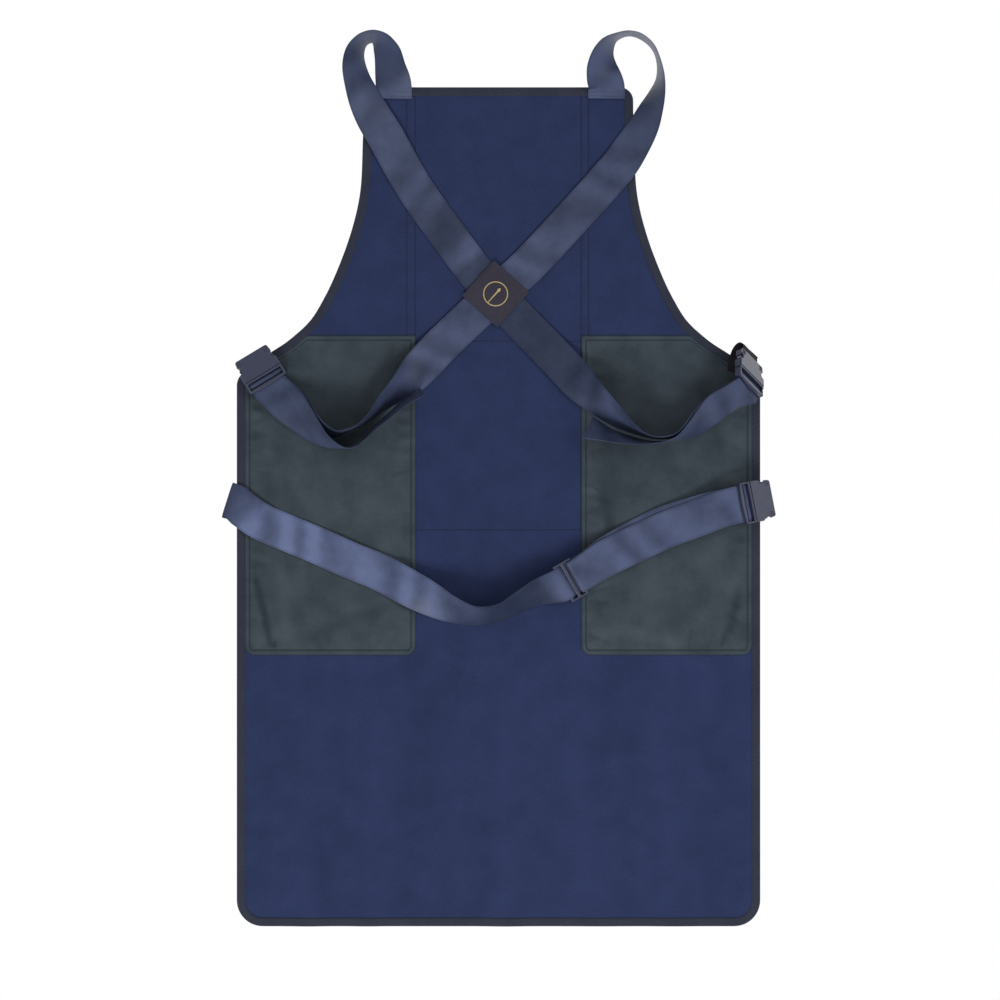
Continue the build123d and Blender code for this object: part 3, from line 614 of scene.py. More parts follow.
neck_end = NECK_N - 1
side_top = NECK_N + CORNER_N + ARM_N - 1
neck_l, neck_r = outline_run(0, neck_end, -1), outline_run(0, neck_end, 1)
binding("neck binding", [tuple(a[::-1] for a in neck_l[:2]), tuple(a[1:] for a in neck_r[:2])],
        "neck_binding")
for label, sign in (("left", -1), ("right", 1)):
    binding(f"{label} armhole binding", [outline_run(neck_end, side_top, sign)[:2]],
            f"{label}_armhole_binding")
low_l, low_r = (outline_run(side_top, len(RIGHT_EDGE) - 1, s) for s in (-1, 1))
binding("skirt binding", [low_l[:2], tuple(a[::-1][1:] for a in low_r[:2])], "skirt_binding")
print("binding lengths: neck", 2 * neck_l[2][-1].round(), "skirt", 2 * low_l[2][-1].round())

# %% [markdown]
# ## Pocket bags
# Each hanging pocket is a lining bag: sewn flat round its rim, a little full inside it, with
# puckers at the stitches and a few longer creases. Sculpting or a pressure simulation would do
# too, but sums of smooth bumps stay the same on every run. Each point also keeps its distance
# from the rim, where the lining's colour takes a needle line and painted shade, and a number for
# the painted shade and light along its creases.

# %% Pocket bags
# creases of each bag: start x, y, end x, y, half width and depth; x is measured from the middle
BAG_FOLDS = {
    -1: [(253, 364, 236, 288, 5, -1.5), (228, 372, 218, 300, 9, 1.2),
         (110, 600, 150, 520, 8, -0.8), (120, 330, 200, 300, 10, -0.9),
         (245, 520, 225, 440, 8, 0.9)],
    1: [(250, 350, 238, 296, 6, -1.0), (105, 470, 120, 380, 7, -0.8),
        (210, 560, 235, 480, 9, -0.9), (130, 310, 190, 292, 7, 0.8)],
}


def bag_puckers(sign):
    """Short creases that run in from the seams of a bag, the same on every run."""
    draw = np.random.default_rng(20 + sign)
    marks = []
    for x in np.arange(98, 258, 11.0):
        reach = draw.uniform(10, 40)
        lean = draw.uniform(-6, 6)
        marks.append((x + draw.uniform(-4, 4), 285, x + lean, 285 + reach,
                      draw.uniform(1.6, 3.6), draw.uniform(-0.9, 0.7)))
    for y in np.arange(300, 590, 16.0):
        reach = draw.uniform(8, 26)
        for edge_x, way in ((91, 1), (257, -1)):
            marks.append((edge_x, y + draw.uniform(-5, 5), edge_x + way * reach,
                          y + draw.uniform(-8, 8), draw.uniform(1.4, 3.0), draw.uniform(-0.8, 0.6)))
    for _ in range(7):
        x, y = draw.uniform(110, 235), draw.uniform(320, 560)
        marks.append((x, y, x + draw.uniform(-35, 35), y + draw.uniform(30, 90),
                      draw.uniform(6, 14), draw.uniform(-0.55, 0.45)))
    return marks


def bag_grid(sign, rows=150, cols=96):
    """Points, distance from the rim and painted crease shade of one bag.

    The outline has rounded lower corners and follows the armhole at its top corner. The height is
    the cloth's, plus a pillow that rises from the rim, a pucker wave along the stitches, a raised
    rim, a slow drift and the creases, each a bell across a line.
    """
    x_in, r = BAG["x_in"], BAG["radius"]
    lo, hi = BAG["bottom"], BAG["top"]
    a = np.linspace(0, np.pi / 2, 9)
    y = np.unique(np.r_[lo + r - r * np.cos(a), np.linspace(lo + r, hi, rows)].round(3))
    short = np.where(y < lo + r, r - np.sqrt(np.maximum(r**2 - (lo + r - y) ** 2, 0)), 0)
    outer = np.minimum(side - BAG["margin"], half_width(y, BIND_IN - 0.6)) - short
    inner = x_in + short
    t = (1 - np.cos(np.linspace(0, np.pi, cols))) / 2 * 0.35 + np.linspace(0, 1, cols) * 0.65
    x = inner[:, None] + (outer - inner)[:, None] * t
    yy = np.repeat(y[:, None], cols, 1)
    from_side = np.minimum(x - inner[:, None], outer[:, None] - x)
    from_end = np.minimum(yy - lo, hi - yy)
    d = np.minimum(from_side, from_end)
    s = np.where(from_side < from_end, yy, x)
    pillow = 4.4 * smoothstep(5.0, 42.0, d)
    wobble = 2 * np.pi * (s / 15.5 + 0.35 * np.sin(s / 41 + sign))
    pucker = 0.7 * np.exp(-((d - 10.5) / 7.0) ** 2) * np.sin(wobble)
    pucker = pucker * (0.6 + 0.5 * np.sin(s / 23 + 2 * sign))
    rim = 0.55 * np.exp(-((d - 1.9) / 1.7) ** 4) - 0.25 * np.exp(-((d - 4.8) / 0.9) ** 2)
    drift = 0.9 * np.sin(x / 27 + yy / 63 + sign) * np.sin(yy / 38 - x / 51) * smoothstep(10, 45, d)
    crease = np.zeros_like(x)
    for x0, y0, x1, y1, wide, deep in BAG_FOLDS[sign] + bag_puckers(sign):
        along = np.array([x1 - x0, y1 - y0])
        length = np.hypot(*along)
        f = ((x - x0) * along[0] + (yy - y0) * along[1]) / length**2
        off = ((x - x0) * along[1] - (yy - y0) * along[0]) / length
        mark = np.exp(-(off / wide) ** 2) * smoothstep(-0.3, 0.15, f) * smoothstep(1.3, 0.75, f)
        drift = drift + deep * mark * smoothstep(5, 22, d)
        # painted shade and light of the crease for the lining's colour: positive where the cloth sinks
        # (shade), negative where it rises (light)
        crease = crease - deep * mark * smoothstep(4.5, 9, d) * 0.55
    base = np.maximum(cloth_z(x, yy), CLOTH_MID)
    z = base + np.maximum(0.75 + pillow + pucker + rim + drift, 0.72)
    return np.stack([sign * x, yy, z], -1), d, np.clip(crease, -1, 1)


bags = {}
for label, sign in (("left", -1), ("right", 1)):
    grid, depth, crease = bag_grid(sign)
    bag = bags[label] = make_object(f"{label} pocket bag", *sheet_mesh(grid, 0.6), body="apron",
                                    rim=np.tile(depth.ravel(), 2), crease=np.tile(crease.ravel(), 2))
    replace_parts(coat(bag, LINING), f"{label}_pocket_bag")
print("bag points:", len(bag.data.vertices))

# %% [markdown]
# ## Webbing
# Flat straps lie where they were put down, so each is a smooth run through listed route points:
# x, y, height and the roll of the band there. Positive roll lifts the edge on the left of
# travel. A bevelled curve would twist where it stands on edge, so rings are built directly from
# the run and its width direction. Inside the hardware the run is given point by point on the
# hardware's own plane.

# %% Routes and hardware frames
LEFT_STRAP = [
    (-109, 859, 3.8, 0), (-109, 874, 8, -12), (-112, 890, 12, -32), (-115, 905, 14.5, -44),
    (-121, 916, 17.5, -62), (-130, 921, 19, -78), (-141, 917, 19, -76), (-148, 906, 18, -64),
    (-149, 891, 17.5, -52), (-145, 874, 17, -42), (-138, 856, 14, -26), (-129, 838, 9.5, -12),
    (-116, 817, 5.5, 0), (-92, 774, 3.6, 0), (-67, 737, 3.2, 0), (-24, 679, 3.2, 0), (-3, 656, 3.2, 0),
    (19, 632, 3.2, 0), (45, 605, 4, 0), (69, 580, 6.5, 4), (84, 563, 12, 20), (98, 549, 19, 40),
    (117, 532, 24.5, 56), (136, 517, 27, 76), (151, 509, 27.5, 86), (166, 506, 28, 88),
    (183, 508, 28.5, 82), (197, 515, 30, 66), (210, 526, 32.5, 52), (227, 541, 37, 44),
    (240, 549.5, 41, 46),
]
LEFT_TAIL = [
    (241, 548.5, 43.2, -46), (226, 539, 38.5, -43), (214, 527, 34, -50), (204, 517, 31.5, -60),
    (194, 510, 29.5, -72), (183, 505, 28.5, -84), (168, 502, 28, -92), (151, 502, 27.5, -98),
    (130, 505, 26.5, -107), (111, 510, 25, -115), (92, 517, 22.5, -130),
]
RIGHT_STRAP = [
    (112, 859, 3.8, 0), (112, 871, 6.0, 4), (109, 881, 10.5, 16), (107, 892, 13, 34),
    (108, 904, 15.5, 54), (113, 914, 18, 70), (121, 920, 19.5, 84), (134, 924, 19.7, 90),
    (147, 921, 19.7, 90),
    (159, 911, 19.7, 90), (165, 897, 19.7, 88), (167, 880, 19.7, 80), (164, 864, 19.5, 66),
    (158, 847, 18.5, 50), (150, 828, 15, 34), (138, 808, 10.5, 18), (126, 790, 7, 6),
    (111, 773, 5, 0), (96, 756, 4.5, 0), (32, 687, 4.5, 0), (-3, 656, 4.5, 0), (-34, 627, 4.5, 0),
    (-60, 602, 5.5, 0), (-83, 577, 10, -16), (-99, 561, 18, -44), (-117, 545, 25.5, -68),
    (-130, 530, 27.5, -80), (-142, 520, 28, -86), (-154, 514, 28, -87), (-167, 511, 27, -80),
    (-184, 516, 24, -60), (-203, 528, 18, -30), (-219, 544, 12, -8),
]
RIGHT_TAIL = [
    (-220, 543, 14, 8), (-204, 527, 20, 34), (-190, 513, 24.5, 54), (-176, 502, 27, 72),
    (-160, 496, 27.5, 88), (-149, 497, 27.5, 94), (-138, 506, 27.3, 97), (-125, 519, 27, 100),
    (-107, 534, 27, 102), (-93, 545, 26.8, 104), (-78, 554, 26.5, 105),
]
WAIST_LEFT = [
    (-265, 432, 6.2, 0), (-247, 420, 7.8, 0), (-217, 407, 8.8, 0), (-186, 394, 8.8, 0),
    (-155, 380, 8.8, 0), (-123, 367, 8.8, 0), (-93, 351, 9.5, 4), (-68, 338, 12, 24),
    (-46, 328, 16.5, 44), (-23, 322, 19, 56), (2, 326, 19.7, 60), (22, 337, 18.5, 54),
    (42, 347, 17, 42),
]
WAIST_TOP = [
    (110, 381, 13.2, 2), (145, 398, 12, 0), (176, 412, 12.4, 0), (208, 424, 16.5, 0),
    (228, 432, 21.4, 0),
]
WAIST_UNDER = [
    (226, 433, 19.7, 0), (205, 427, 14.4, 0), (173, 417, 10.5, 0), (142, 402, 9.4, 0),
    (112, 385, 9.6, -6),
]
# the standing tab: x, y, height and how far it has turned from its sewn end to the buckle
TAB_CURL = [
    (251.5, 575.0, 4.4, 0), (252.6, 584.0, 5.0, 0.12), (255.0, 592.5, 8.0, 0.4),
    (258.0, 597.0, 12.0, 0.7), (260.6, 596.0, 15.0, 0.95),
]
FOLD, FOLD_HEADING, SEWN = (-281.6, 442.0), -17.6, 42.0


class Plane:
    """A hardware frame: u along the strap, v across it, w out of the top."""

    def __init__(self, x, y, z, heading, dip, roll):
        a, p, r = (math.radians(t) for t in (heading, dip, roll))
        self.o = np.array([x, y, z])
        self.u = np.array([math.cos(a) * math.cos(p), math.sin(a) * math.cos(p), -math.sin(p)])
        level = np.array([-math.sin(a), math.cos(a), 0.0])
        self.v = level * math.cos(r) + np.cross(self.u, level) * math.sin(r)
        self.w = np.cross(self.u, self.v)

    def at(self, uvw):
        """Garment points of (u, v, w) points: o + u U + v V + w W."""
        uvw = np.asarray(uvw, float)
        return self.o + uvw[..., :1] * self.u + uvw[..., 1:2] * self.v + uvw[..., 2:3] * self.w


UPPER_LEFT = Plane(-237.6, 561.4, 9.3, 121.0, 5.0, 0.0)
UPPER_RIGHT = Plane(254.0, 557.2, 40.0, 87.0, 38.0, 52.0)
WAIST_RIGHT = Plane(248.6, 437.4, 21.1, 11.0, 30.0, 0.0)
SLIDER = Plane(74.0, 360.5, 13.6, 30.0, 0.0, 22.0)
print("hardware frames ready")

# %% Bands


def free_run(route, flip=1, steps=7):
    """Catmull-Rom points through a route and the width direction at each."""
    p = np.array(route, float)
    p = np.vstack([2 * p[0] - p[1], p, 2 * p[-1] - p[-2]])
    p[0, 3], p[-1, 3] = p[1, 3], p[-2, 3]
    t = (np.arange(steps) / steps)[:, None]
    spans = [0.5 * ((-t + 2 * t**2 - t**3) * a + (2 - 5 * t**2 + 3 * t**3) * b
                    + (t + 4 * t**2 - 3 * t**3) * c + (-t**2 + t**3) * d)
             for a, b, c, d in zip(p, p[1:], p[2:], p[3:])]
    out = np.vstack([*spans, p[-2]])
    c, roll = out[:, :3], np.radians(out[:, 3])[:, None]
    t = unit(np.gradient(c, axis=0))
    level = unit(np.cross([0.0, 0.0, 1.0], t))
    across = level * np.cos(roll) + np.cross(t, level) * np.sin(roll)
    return c, across * flip


def plane_run(plane, path, radius=1.1, steps=4):
    """Points of a cornered path on a hardware plane, its corners rounded."""
    p = np.array(path, float)
    out = [p[0]]
    for a, b, c in zip(p, p[1:], p[2:]):
        la, lc = np.linalg.norm(a - b), np.linalg.norm(c - b)
        r = min(radius, la * 0.45, lc * 0.45)
        s, e = b + (a - b) / la * r, b + (c - b) / lc * r
        for t in np.linspace(0, 1, steps):
            out.append((1 - t) ** 2 * s + 2 * t * (1 - t) * b + t**2 * e)
    out.append(p[-1])
    out = np.array(out)
    uvw = np.c_[out[:, 0], np.zeros(len(out)), out[:, 1]]
    return plane.at(uvw), np.repeat(plane.v[None], len(out), 0)


def join_runs(*runs):
    """Several runs end to end."""
    return np.vstack([r[0] for r in runs]), np.vstack([r[1] for r in runs])


def band_rings(centres, across, width, thick, ends=(0, 0), cols=9):
    """Rings of a soft-edged flat band, thicker where its ends are hemmed, with its length and
    width kept as numbers. Each ring stands on the bisector of the two steps that meet there."""
    step = np.linalg.norm(np.diff(centres, axis=0), axis=1)
    keep = np.r_[True, step > 0.15]
    centres, across = centres[keep], across[keep]
    step = np.linalg.norm(np.diff(centres, axis=0), axis=1)
    s = np.r_[0, np.cumsum(step)]
    t = unit(np.diff(centres, axis=0))
    back, ahead = np.vstack([t[:1], t]), np.vstack([t, t[-1:]])
    tangent = unit(back + ahead)
    miter = 1 / np.maximum((tangent * ahead).sum(1), 0.6)
    side_dir = unit(across - tangent * (across * tangent).sum(1, keepdims=True))
    normal = np.cross(tangent, side_dir) * miter[:, None]
    f = np.linspace(-1, 1, cols)
    shape = np.clip(1 - np.abs(f) ** 12, 0.35, 1)
    thick = thick * (1 + 0.75 * (s < ends[0]) + 0.75 * (s > s[-1] - ends[1]))
    ring_x = np.r_[f, f[::-1]] * width / 2
    ring_w = np.r_[shape, -shape[::-1]]
    rise = ring_w[None, :, None] * thick[:, None, None] / 2
    rings = (centres[:, None] + side_dir[:, None] * ring_x[None, :, None]
             + normal[:, None] * rise)
    along = np.repeat(s[:, None], 2 * cols, 1)
    wide = np.repeat(ring_x[None], len(s), 0)
    return rings, along, wide


def band(name, run, width, thick, material, slot, shine=((0, 0.3), (1, 0.3)), **options):
    """A webbing object with its length and width stored on the mesh."""
    rings, along, wide = band_rings(*run, width, thick, **options)
    points, faces = tube_mesh(rings)
    return soft_band(name, points, faces, along, wide, material, slot, shine)


def soft_band(name, points, faces, along, wide, material, slot, shine):
    """The band's mesh, with its length, width and painted shine kept as numbers on each point."""
    gloss = np.interp(along, *zip(*shine))
    obj = make_object(name, points, faces, along=along, across=wide, gloss=gloss)
    return coat(obj, material)


# the male half's strap bars, in its own plane: clearances, bar sizes and the heights between them
CLEAR, BAR_OUT, LADDER_GAP, BAR_MID = 0.15, 3.0, 2.8, 2.4
MID_BAR_Z = 0.2 + WEB_T + CLEAR
MID_BAR_TOP = MID_BAR_Z + 2.8
OUT_BAR_Z = 0.2 + 2 * WEB_T + 0.25 + CLEAR
GAP = CLEAR + WEB_T / 2


def ladder_path():
    """Webbing in under both bars, back over the middle bar and out on top of itself."""
    low = 0.2 + WEB_T / 2
    tail = low + WEB_T + 0.25
    inner = BAR_OUT + LADDER_GAP + BAR_MID + GAP
    outer = BAR_OUT + LADDER_GAP - GAP
    top = MID_BAR_TOP + GAP
    return [(-4.5, low - 0.6), (-1.0, low), (inner, low), (inner, top), (outer, top), (outer, tail),
            (-1.0, tail), (-4.5, tail - 0.4)]


# the slider: width of its middle bar, gaps, outer bars, and its thickness
S_MID, S_GAP, S_BAR, S_T = 3.6, 5.2, 3.0, 2.4


def slider_over():
    """The strap over the slider, under its middle bar and over again."""
    over = S_T + GAP
    high = over + WEB_T + 0.25
    half = S_MID / 2
    rise = half + 2.7
    far = half + S_GAP + S_BAR
    return [(-far - 3.0, over), (-half - S_GAP, over), (-half - 2.6, 1.2), (-half - 1.0, -GAP),
            (rise - 0.6, -GAP), (rise, 0.2), (rise + 0.1, high - 0.9), (rise + 1.3, high),
            (far + 0.5, high), (far + 8.0, high - 1.4)]


def slider_end():
    """The sewn end of the strap round the slider's right bar."""
    over = S_T + GAP
    near = S_MID / 2 + S_GAP
    far = near + S_BAR
    return [(far + 14.0, -GAP), (near - GAP, -GAP), (near - GAP, over), (far + GAP, over),
            (far + GAP + 0.9, 0.5), (far + 10.0, 0.5)]


def fold_run():
    """The waist strap's sewn end under the body and its fold round the left edge."""
    a = math.radians(FOLD_HEADING)
    ahead = np.array([math.cos(a), math.sin(a), 0.0])
    across = np.array([-ahead[1], ahead[0], 0.0])
    path = [(SEWN, 0.6), (9.0, 0.6), (3.2, 0.7), (0.9, 1.5), (0.0, 3.1), (0.9, 4.7), (3.4, 5.4),
            (9.0, 5.7)]
    c = np.array([[*(np.array([*FOLD, 0.0]) + ahead * s)[:2], z] for s, z in path])
    return c, np.repeat(across[None], len(c), 0)


# %% [markdown]
# ## The three straps
# Each shoulder strap runs from the bib, through the crossing and a buckle's bars, and back along
# itself as a tail. The waist strap weaves through the slider, turns round the buckle's bar and
# comes back to end round the slider's outer bar. It is one run on the real apron, but the slider
# and the buckle move on their own, so its rings are shared out over three pieces that meet
# exactly.

# %% The straps
SHOULDER_HEMS, MIDWAY = (9, 12), 165.0
# painted highlight along each strap: distance along it in mm, and how far its colour is lifted from
# the shaded towards the lit tone there
left_shine = ((0, 0.33), (230, 0.30), (270, 0.28), (292, 0.12), (322, 0.12), (338, 0.5),
              (352, 0.12), (415, 0.08), (510, 0.09), (560, 0.30), (620, 0.30), (700, 0.22),
              (900, 0.25))
right_shine = ((0, 0.38), (230, 0.28), (320, 0.25), (400, 0.34), (500, 0.34), (540, 0.34),
               (620, 0.20), (760, 0.25))
waist_shine = ((0, 0.5), (46, 0.2), (66, 0.4), (82, 1.0), (96, 0.62), (130, 0.85), (190, 0.62),
               (270, 0.62), (325, 0.25), (345, 0.08), (400, 0.06), (430, 0.40), (640, 0.42),
               (680, 0.35), (900, 0.35))


def shoulder(name, route, plane, tail, shine):
    """A shoulder strap's run and its object."""
    run = join_runs(free_run(route), plane_run(plane, ladder_path()), free_run(tail, -1))
    return run, band(name, run, WEB_W, WEB_T, WEB, "webbing", shine, ends=SHOULDER_HEMS)


left_run, left_strap = shoulder("left shoulder strap", LEFT_STRAP, UPPER_RIGHT, LEFT_TAIL,
                                left_shine)
right_run, right_strap = shoulder("right shoulder strap", RIGHT_STRAP, UPPER_LEFT, RIGHT_TAIL,
                                  right_shine)
waist_run = join_runs(
    fold_run(), free_run(WAIST_LEFT), plane_run(SLIDER, slider_over()), free_run(WAIST_TOP),
    plane_run(WAIST_RIGHT, ladder_path()[::-1]), free_run(WAIST_UNDER, -1),
    plane_run(SLIDER, slider_end()))
rings, along, wide = band_rings(*waist_run, WEB_W, WEB_T)
beyond = rings.mean(1)[:, 0] > MIDWAY
first, last = int(np.argmax(beyond)), len(beyond) - 1 - int(np.argmax(beyond[::-1]))


def waist_part(name, cut):
    """One stretch of the waist strap, taken from the rings of the whole."""
    return soft_band(name, *tube_mesh(rings[cut]), along[cut], wide[cut], WEB, "webbing",
                     waist_shine)


waist_left = waist_part("waist strap left", slice(0, first + 1))
waist_right = waist_part("waist strap buckle end", slice(first, last + 1))
waist_back = waist_part("waist strap return", slice(last, None))
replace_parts(left_strap, "left_shoulder_strap")
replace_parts(right_strap, "right_shoulder_strap")
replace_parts(waist_left, "waist_strap")


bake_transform(left_strap)
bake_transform(right_strap)
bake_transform(waist_left)
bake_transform(waist_back)
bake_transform(waist_right)
print("strap points:", len(left_strap.data.vertices), len(right_strap.data.vertices))

# %% [markdown]
# ## Buckles
# A side-release buckle has a male half with the strap's bars and two springy prongs, and a female
# half that the prongs click into. They are moulded, so every part is flat with rounded edges. A
# Bevel modifier on boxes would also work, but outlines like the bowed bar and the hooked prong are
# easier as prisms: an outline at six heights, moved inward at the first two and the last two.

# %% Bevelled prisms


def inset(poly, d):
    """A closed outline moved inward by d, corner by corner."""
    p = np.asarray(poly, float)
    a, b = unit(p - np.roll(p, 1, 0)), unit(np.roll(p, -1, 0) - p)
    na, nb = np.c_[-a[:, 1], a[:, 0]], np.c_[-b[:, 1], b[:, 0]]
    n = na + nb
    scale = 2 / np.maximum((n * n).sum(1, keepdims=True), 0.6)
    return p + n * scale * d


def prism(poly, z0, z1, bevel=0.4):
    """A prism of an anticlockwise outline with rounded upper and lower edges."""
    levels = [(bevel, z0), (bevel * 0.3, z0 + bevel * 0.3), (0, z0 + bevel),
              (0, z1 - bevel), (bevel * 0.3, z1 - bevel * 0.3), (bevel, z1)]
    rings = np.array([np.c_[inset(poly, d), np.full(len(poly), z)] for d, z in levels])
    n, m = rings.shape[:2]
    faces = grid_faces(n, m, wrap=True)
    faces += [list(range(m))[::-1], list(range((n - 1) * m, n * m))]
    return rings.reshape(-1, 3), faces


def rect(u0, u1, v0, v1):
    """An anticlockwise rectangle."""
    return [(u0, v0), (u1, v0), (u1, v1), (u0, v1)]


def rect_at(s, u0, u1, v0, v1):
    """A rectangle from v0 to v1 on one side, s = -1 or 1, of the middle line."""
    return rect(u0, u1, *sorted((s * v0, s * v1)))


def on_buckle(name, plane, parts, body, node, material):
    """An object from (u, v, w) parts placed on a hardware plane."""
    points, faces = merge(parts)
    obj = make_object(name, plane.at(points), faces, body=body, flat=True)
    coat(obj, material)
    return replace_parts(obj, node)


# %% Buckle halves
HALF_V, SLOT_V, BUCKLE_T, BUCKLE_L, MOUTH_U = 21.5, 19.5, 8.6, 37.0, 12.8
MID_W, TONGUE_HALF_T = BUCKLE_T / 2, 2.2


def bowed(u0, u1, v, bulge, n=13):
    """A bar whose outer side bows outward by a parabola: bulge (1 - (x / v)^2)."""
    vs = np.linspace(-v, v, n)
    outer = [(u0 - bulge * (1 - (x / v) ** 2), x) for x in vs]
    return [(u1, -v)] + [(u1, v)] + outer[::-1]


def male_parts():
    """Outer bar, cheeks, middle bar, ribbed shoulder and tongue."""
    parts = [prism(bowed(0.6, BAR_OUT, HALF_V - 0.6, 1.5), OUT_BAR_Z, BUCKLE_T - 1.4, 0.7)]
    for s in (-1, 1):
        cheek = rect_at(s, 0.4, MOUTH_U - 0.4, SLOT_V, HALF_V)
        parts.append(prism(cheek, 0.2, BUCKLE_T - 1.2, 0.5))
    mid = BAR_OUT + LADDER_GAP
    bar = rect(mid, mid + BAR_MID, -SLOT_V - 0.4, SLOT_V + 0.4)
    parts.append(prism(bar, MID_BAR_Z, MID_BAR_TOP, 0.4))
    for v in np.arange(-SLOT_V + 1.0, SLOT_V, 1.9):
        rib = rect(MOUTH_U - 3.2, MOUTH_U - 1.4, v, v + 0.9)
        parts.append(prism(rib, BUCKLE_T - 1.0, BUCKLE_T - 0.05, 0.2))
    shoulder_bar = rect(MOUTH_U - 3.0, MOUTH_U - 0.3, -HALF_V, HALF_V)
    parts.append(prism(shoulder_bar, 0.7, BUCKLE_T - 0.4, 0.5))
    tongue = [(MOUTH_U - 1, -3), (26.6, -3), (27.6, -2), (27.6, 2), (26.6, 3), (MOUTH_U - 1, 3)]
    parts.append(prism(tongue, MID_W - TONGUE_HALF_T, MID_W + TONGUE_HALF_T, 0.4))
    return parts


def prong_parts(s):
    """One spring arm with its press button."""
    arm = [(MOUTH_U - 2.0, 10.8), (22.0, 14.4), (28.4, 14.0), (29.4, 15.6), (28.8, 17.8),
           (27.0, 19.4), (25.0, 19.9), (23.2, 19.2), (22.9, 17.4), (MOUTH_U - 2.0, 14.2)]
    arm = arm if s > 0 else [(u, -v) for u, v in arm[::-1]]
    return [prism(arm, MID_W - TONGUE_HALF_T, MID_W + TONGUE_HALF_T, 0.4)]


def female_plate():
    """Outline of the flat plates: wide mouth, notches for the buttons, narrower far end."""
    right = [(MOUTH_U, -HALF_V), (21.4, -HALF_V), (22.6, -20.7), (23.2, -18.2), (24.4, -17.2),
             (27.8, -17.0), (28.9, -17.9), (29.5, -19.4), (30.6, -19.9), (35.4, -19.1),
             (36.7, -18.2), (37.0, -16.6)]
    return right + [(u, -v) for u, v in right[::-1]]


def female_parts():
    """Two plates, side walls, a solid far end with the slot for the tab, and grip ribs."""
    under = [(min(u, 31.1), v) for u, v in female_plate()[:9]]
    under += [(u, -v) for u, v in under[::-1]]
    parts = [prism(female_plate(), BUCKLE_T - 1.6, BUCKLE_T, 0.5), prism(under, 0.0, 1.5, 0.4)]
    for s in (-1, 1):
        wall = rect_at(s, MOUTH_U, 21.8, 19.9, HALF_V)
        parts.append(prism(wall, 0.3, BUCKLE_T - 0.3, 0.3))
        end_block = rect_at(s, 29.8, 36.5, 14.8, 18.4)
        parts.append(prism(end_block, 0.2, BUCKLE_T - 0.2, 0.5))
        for u in 30.9 + 1.5 * np.arange(4):
            grip = rect_at(s, u - 0.4, u + 0.4, 13.4, 18.2)
            parts.append(prism(grip, BUCKLE_T - 0.8, BUCKLE_T + 0.45, 0.3))
    parts.append(prism(rect(29.8, 31.1, -15.5, 15.5), 0.3, BUCKLE_T - 0.3, 0.3))
    parts.append(prism(rect(33.9, 35.6, -15.5, 15.5), 0.2, 4.5, 0.4))
    return parts


def tab_loop():
    """The tab's turn round the bar at the far end."""
    g = CLEAR + TAPE_T / 2
    slot = BUCKLE_L - 3.2 - g - 0.05
    out = BUCKLE_L - TAPE_T - 2 * CLEAR + g + 0.05
    top = 4.6 + g
    return [(slot - 1.2, -g - 0.1), (slot, 0.6), (slot, top), (out, top), (out, 0.2),
            (out - 1.2, -2 * g - 0.6)]


def flat_tab(name, plane, node):
    """A tab sewn under its buckle."""
    g = CLEAR + TAPE_T / 2
    path = ([(16.0, -2.9), (22.0, -2.0), (28.0, -g - 0.1)] + tab_loop()
            + [(28.0, -2 * g - 0.7), (22.0, -3.3), (16.0, -4.1)])
    obj = band(name, plane_run(plane, path, 0.8), TAPE_W, TAPE_T, TAPE, "grosgrain_tape")
    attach(obj, "apron")
    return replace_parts(obj, node)


for place, plane in (("upper_left", UPPER_LEFT), ("upper_right", UPPER_RIGHT),
                     ("waist", WAIST_RIGHT)):
    halves = [("male", male_parts(), "release"), ("prong_a", prong_parts(1), "prong_a"),
              ("prong_b", prong_parts(-1), "prong_b"), ("female", female_parts(), None)]
    for part, solids, joint in halves:
        on_buckle(f"{place} buckle {part}".replace("_", " "), plane, solids,
                  f"{place}_{joint}" if joint else "apron", f"{place}_buckle_{part}",
                  PLASTIC)
flat_tab("upper left buckle tab", UPPER_LEFT, "upper_left_buckle_tab")
flat_tab("waist buckle tab", WAIST_RIGHT, "waist_buckle_tab")


def standing_tab():
    """The curled tab of the buckle that stands on its side."""
    g = CLEAR + TAPE_T / 2
    slot = BUCKLE_L - 3.2 - g
    p = np.array(TAB_CURL)
    c, _ = free_run([(a, b, z, 0) for a, b, z, _ in TAB_CURL], steps=5)
    turn = np.interp(np.linspace(0, 1, len(c)), np.linspace(0, 1, len(p)), p[:, 3])[:, None]
    across = unit(np.array([-0.82, 0.57, 0.0]) * (1 - turn) + UPPER_RIGHT.v * turn)
    loop = [(BUCKLE_L + 4.5, 4.6 + g), (slot, 4.6 + g), (slot, -g - 0.1), (BUCKLE_L + 2.5, -g - 0.1)]
    run = join_runs((c, across), plane_run(UPPER_RIGHT, loop, 0.8))
    obj = band("upper right buckle tab", run, TAPE_W, TAPE_T, TAPE, "grosgrain_tape")
    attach(obj, "apron")
    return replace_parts(obj, "upper_right_buckle_tab")


standing_tab()
print("buckles made")

# %% [markdown]
# ## Slider
# The waist strap is shortened with a three-bar slider: a flat frame with a middle bar, built from
# five overlapping prisms, because a frame cut out of a plate would need booleans.

# %% Slider
half_u, slot_v, opening = S_MID / 2 + S_GAP + S_BAR, 20.5, 41.0
slide_v = -(opening - WEB_W) / 2 + 0.2
slider_parts = []
for u0, u1 in ((-half_u, -half_u + S_BAR), (-S_MID / 2, S_MID / 2), (half_u - S_BAR, half_u)):
    bar = rect(u0, u1, slide_v - slot_v - 1.2, slide_v + slot_v + 1.2)
    slider_parts.append(prism(bar, 0.0, S_T, 0.6))
for s in (-1, 1):
    lo, hi = sorted((slide_v + s * slot_v, slide_v + s * (slot_v + 2.3)))
    slider_parts.append(prism(rect(-half_u, half_u, lo, hi), 0.0, S_T, 0.6))
on_buckle("strap slider", SLIDER, slider_parts, "slider", "strap_slider", PLASTIC)
print("slider parts:", len(slider_parts))

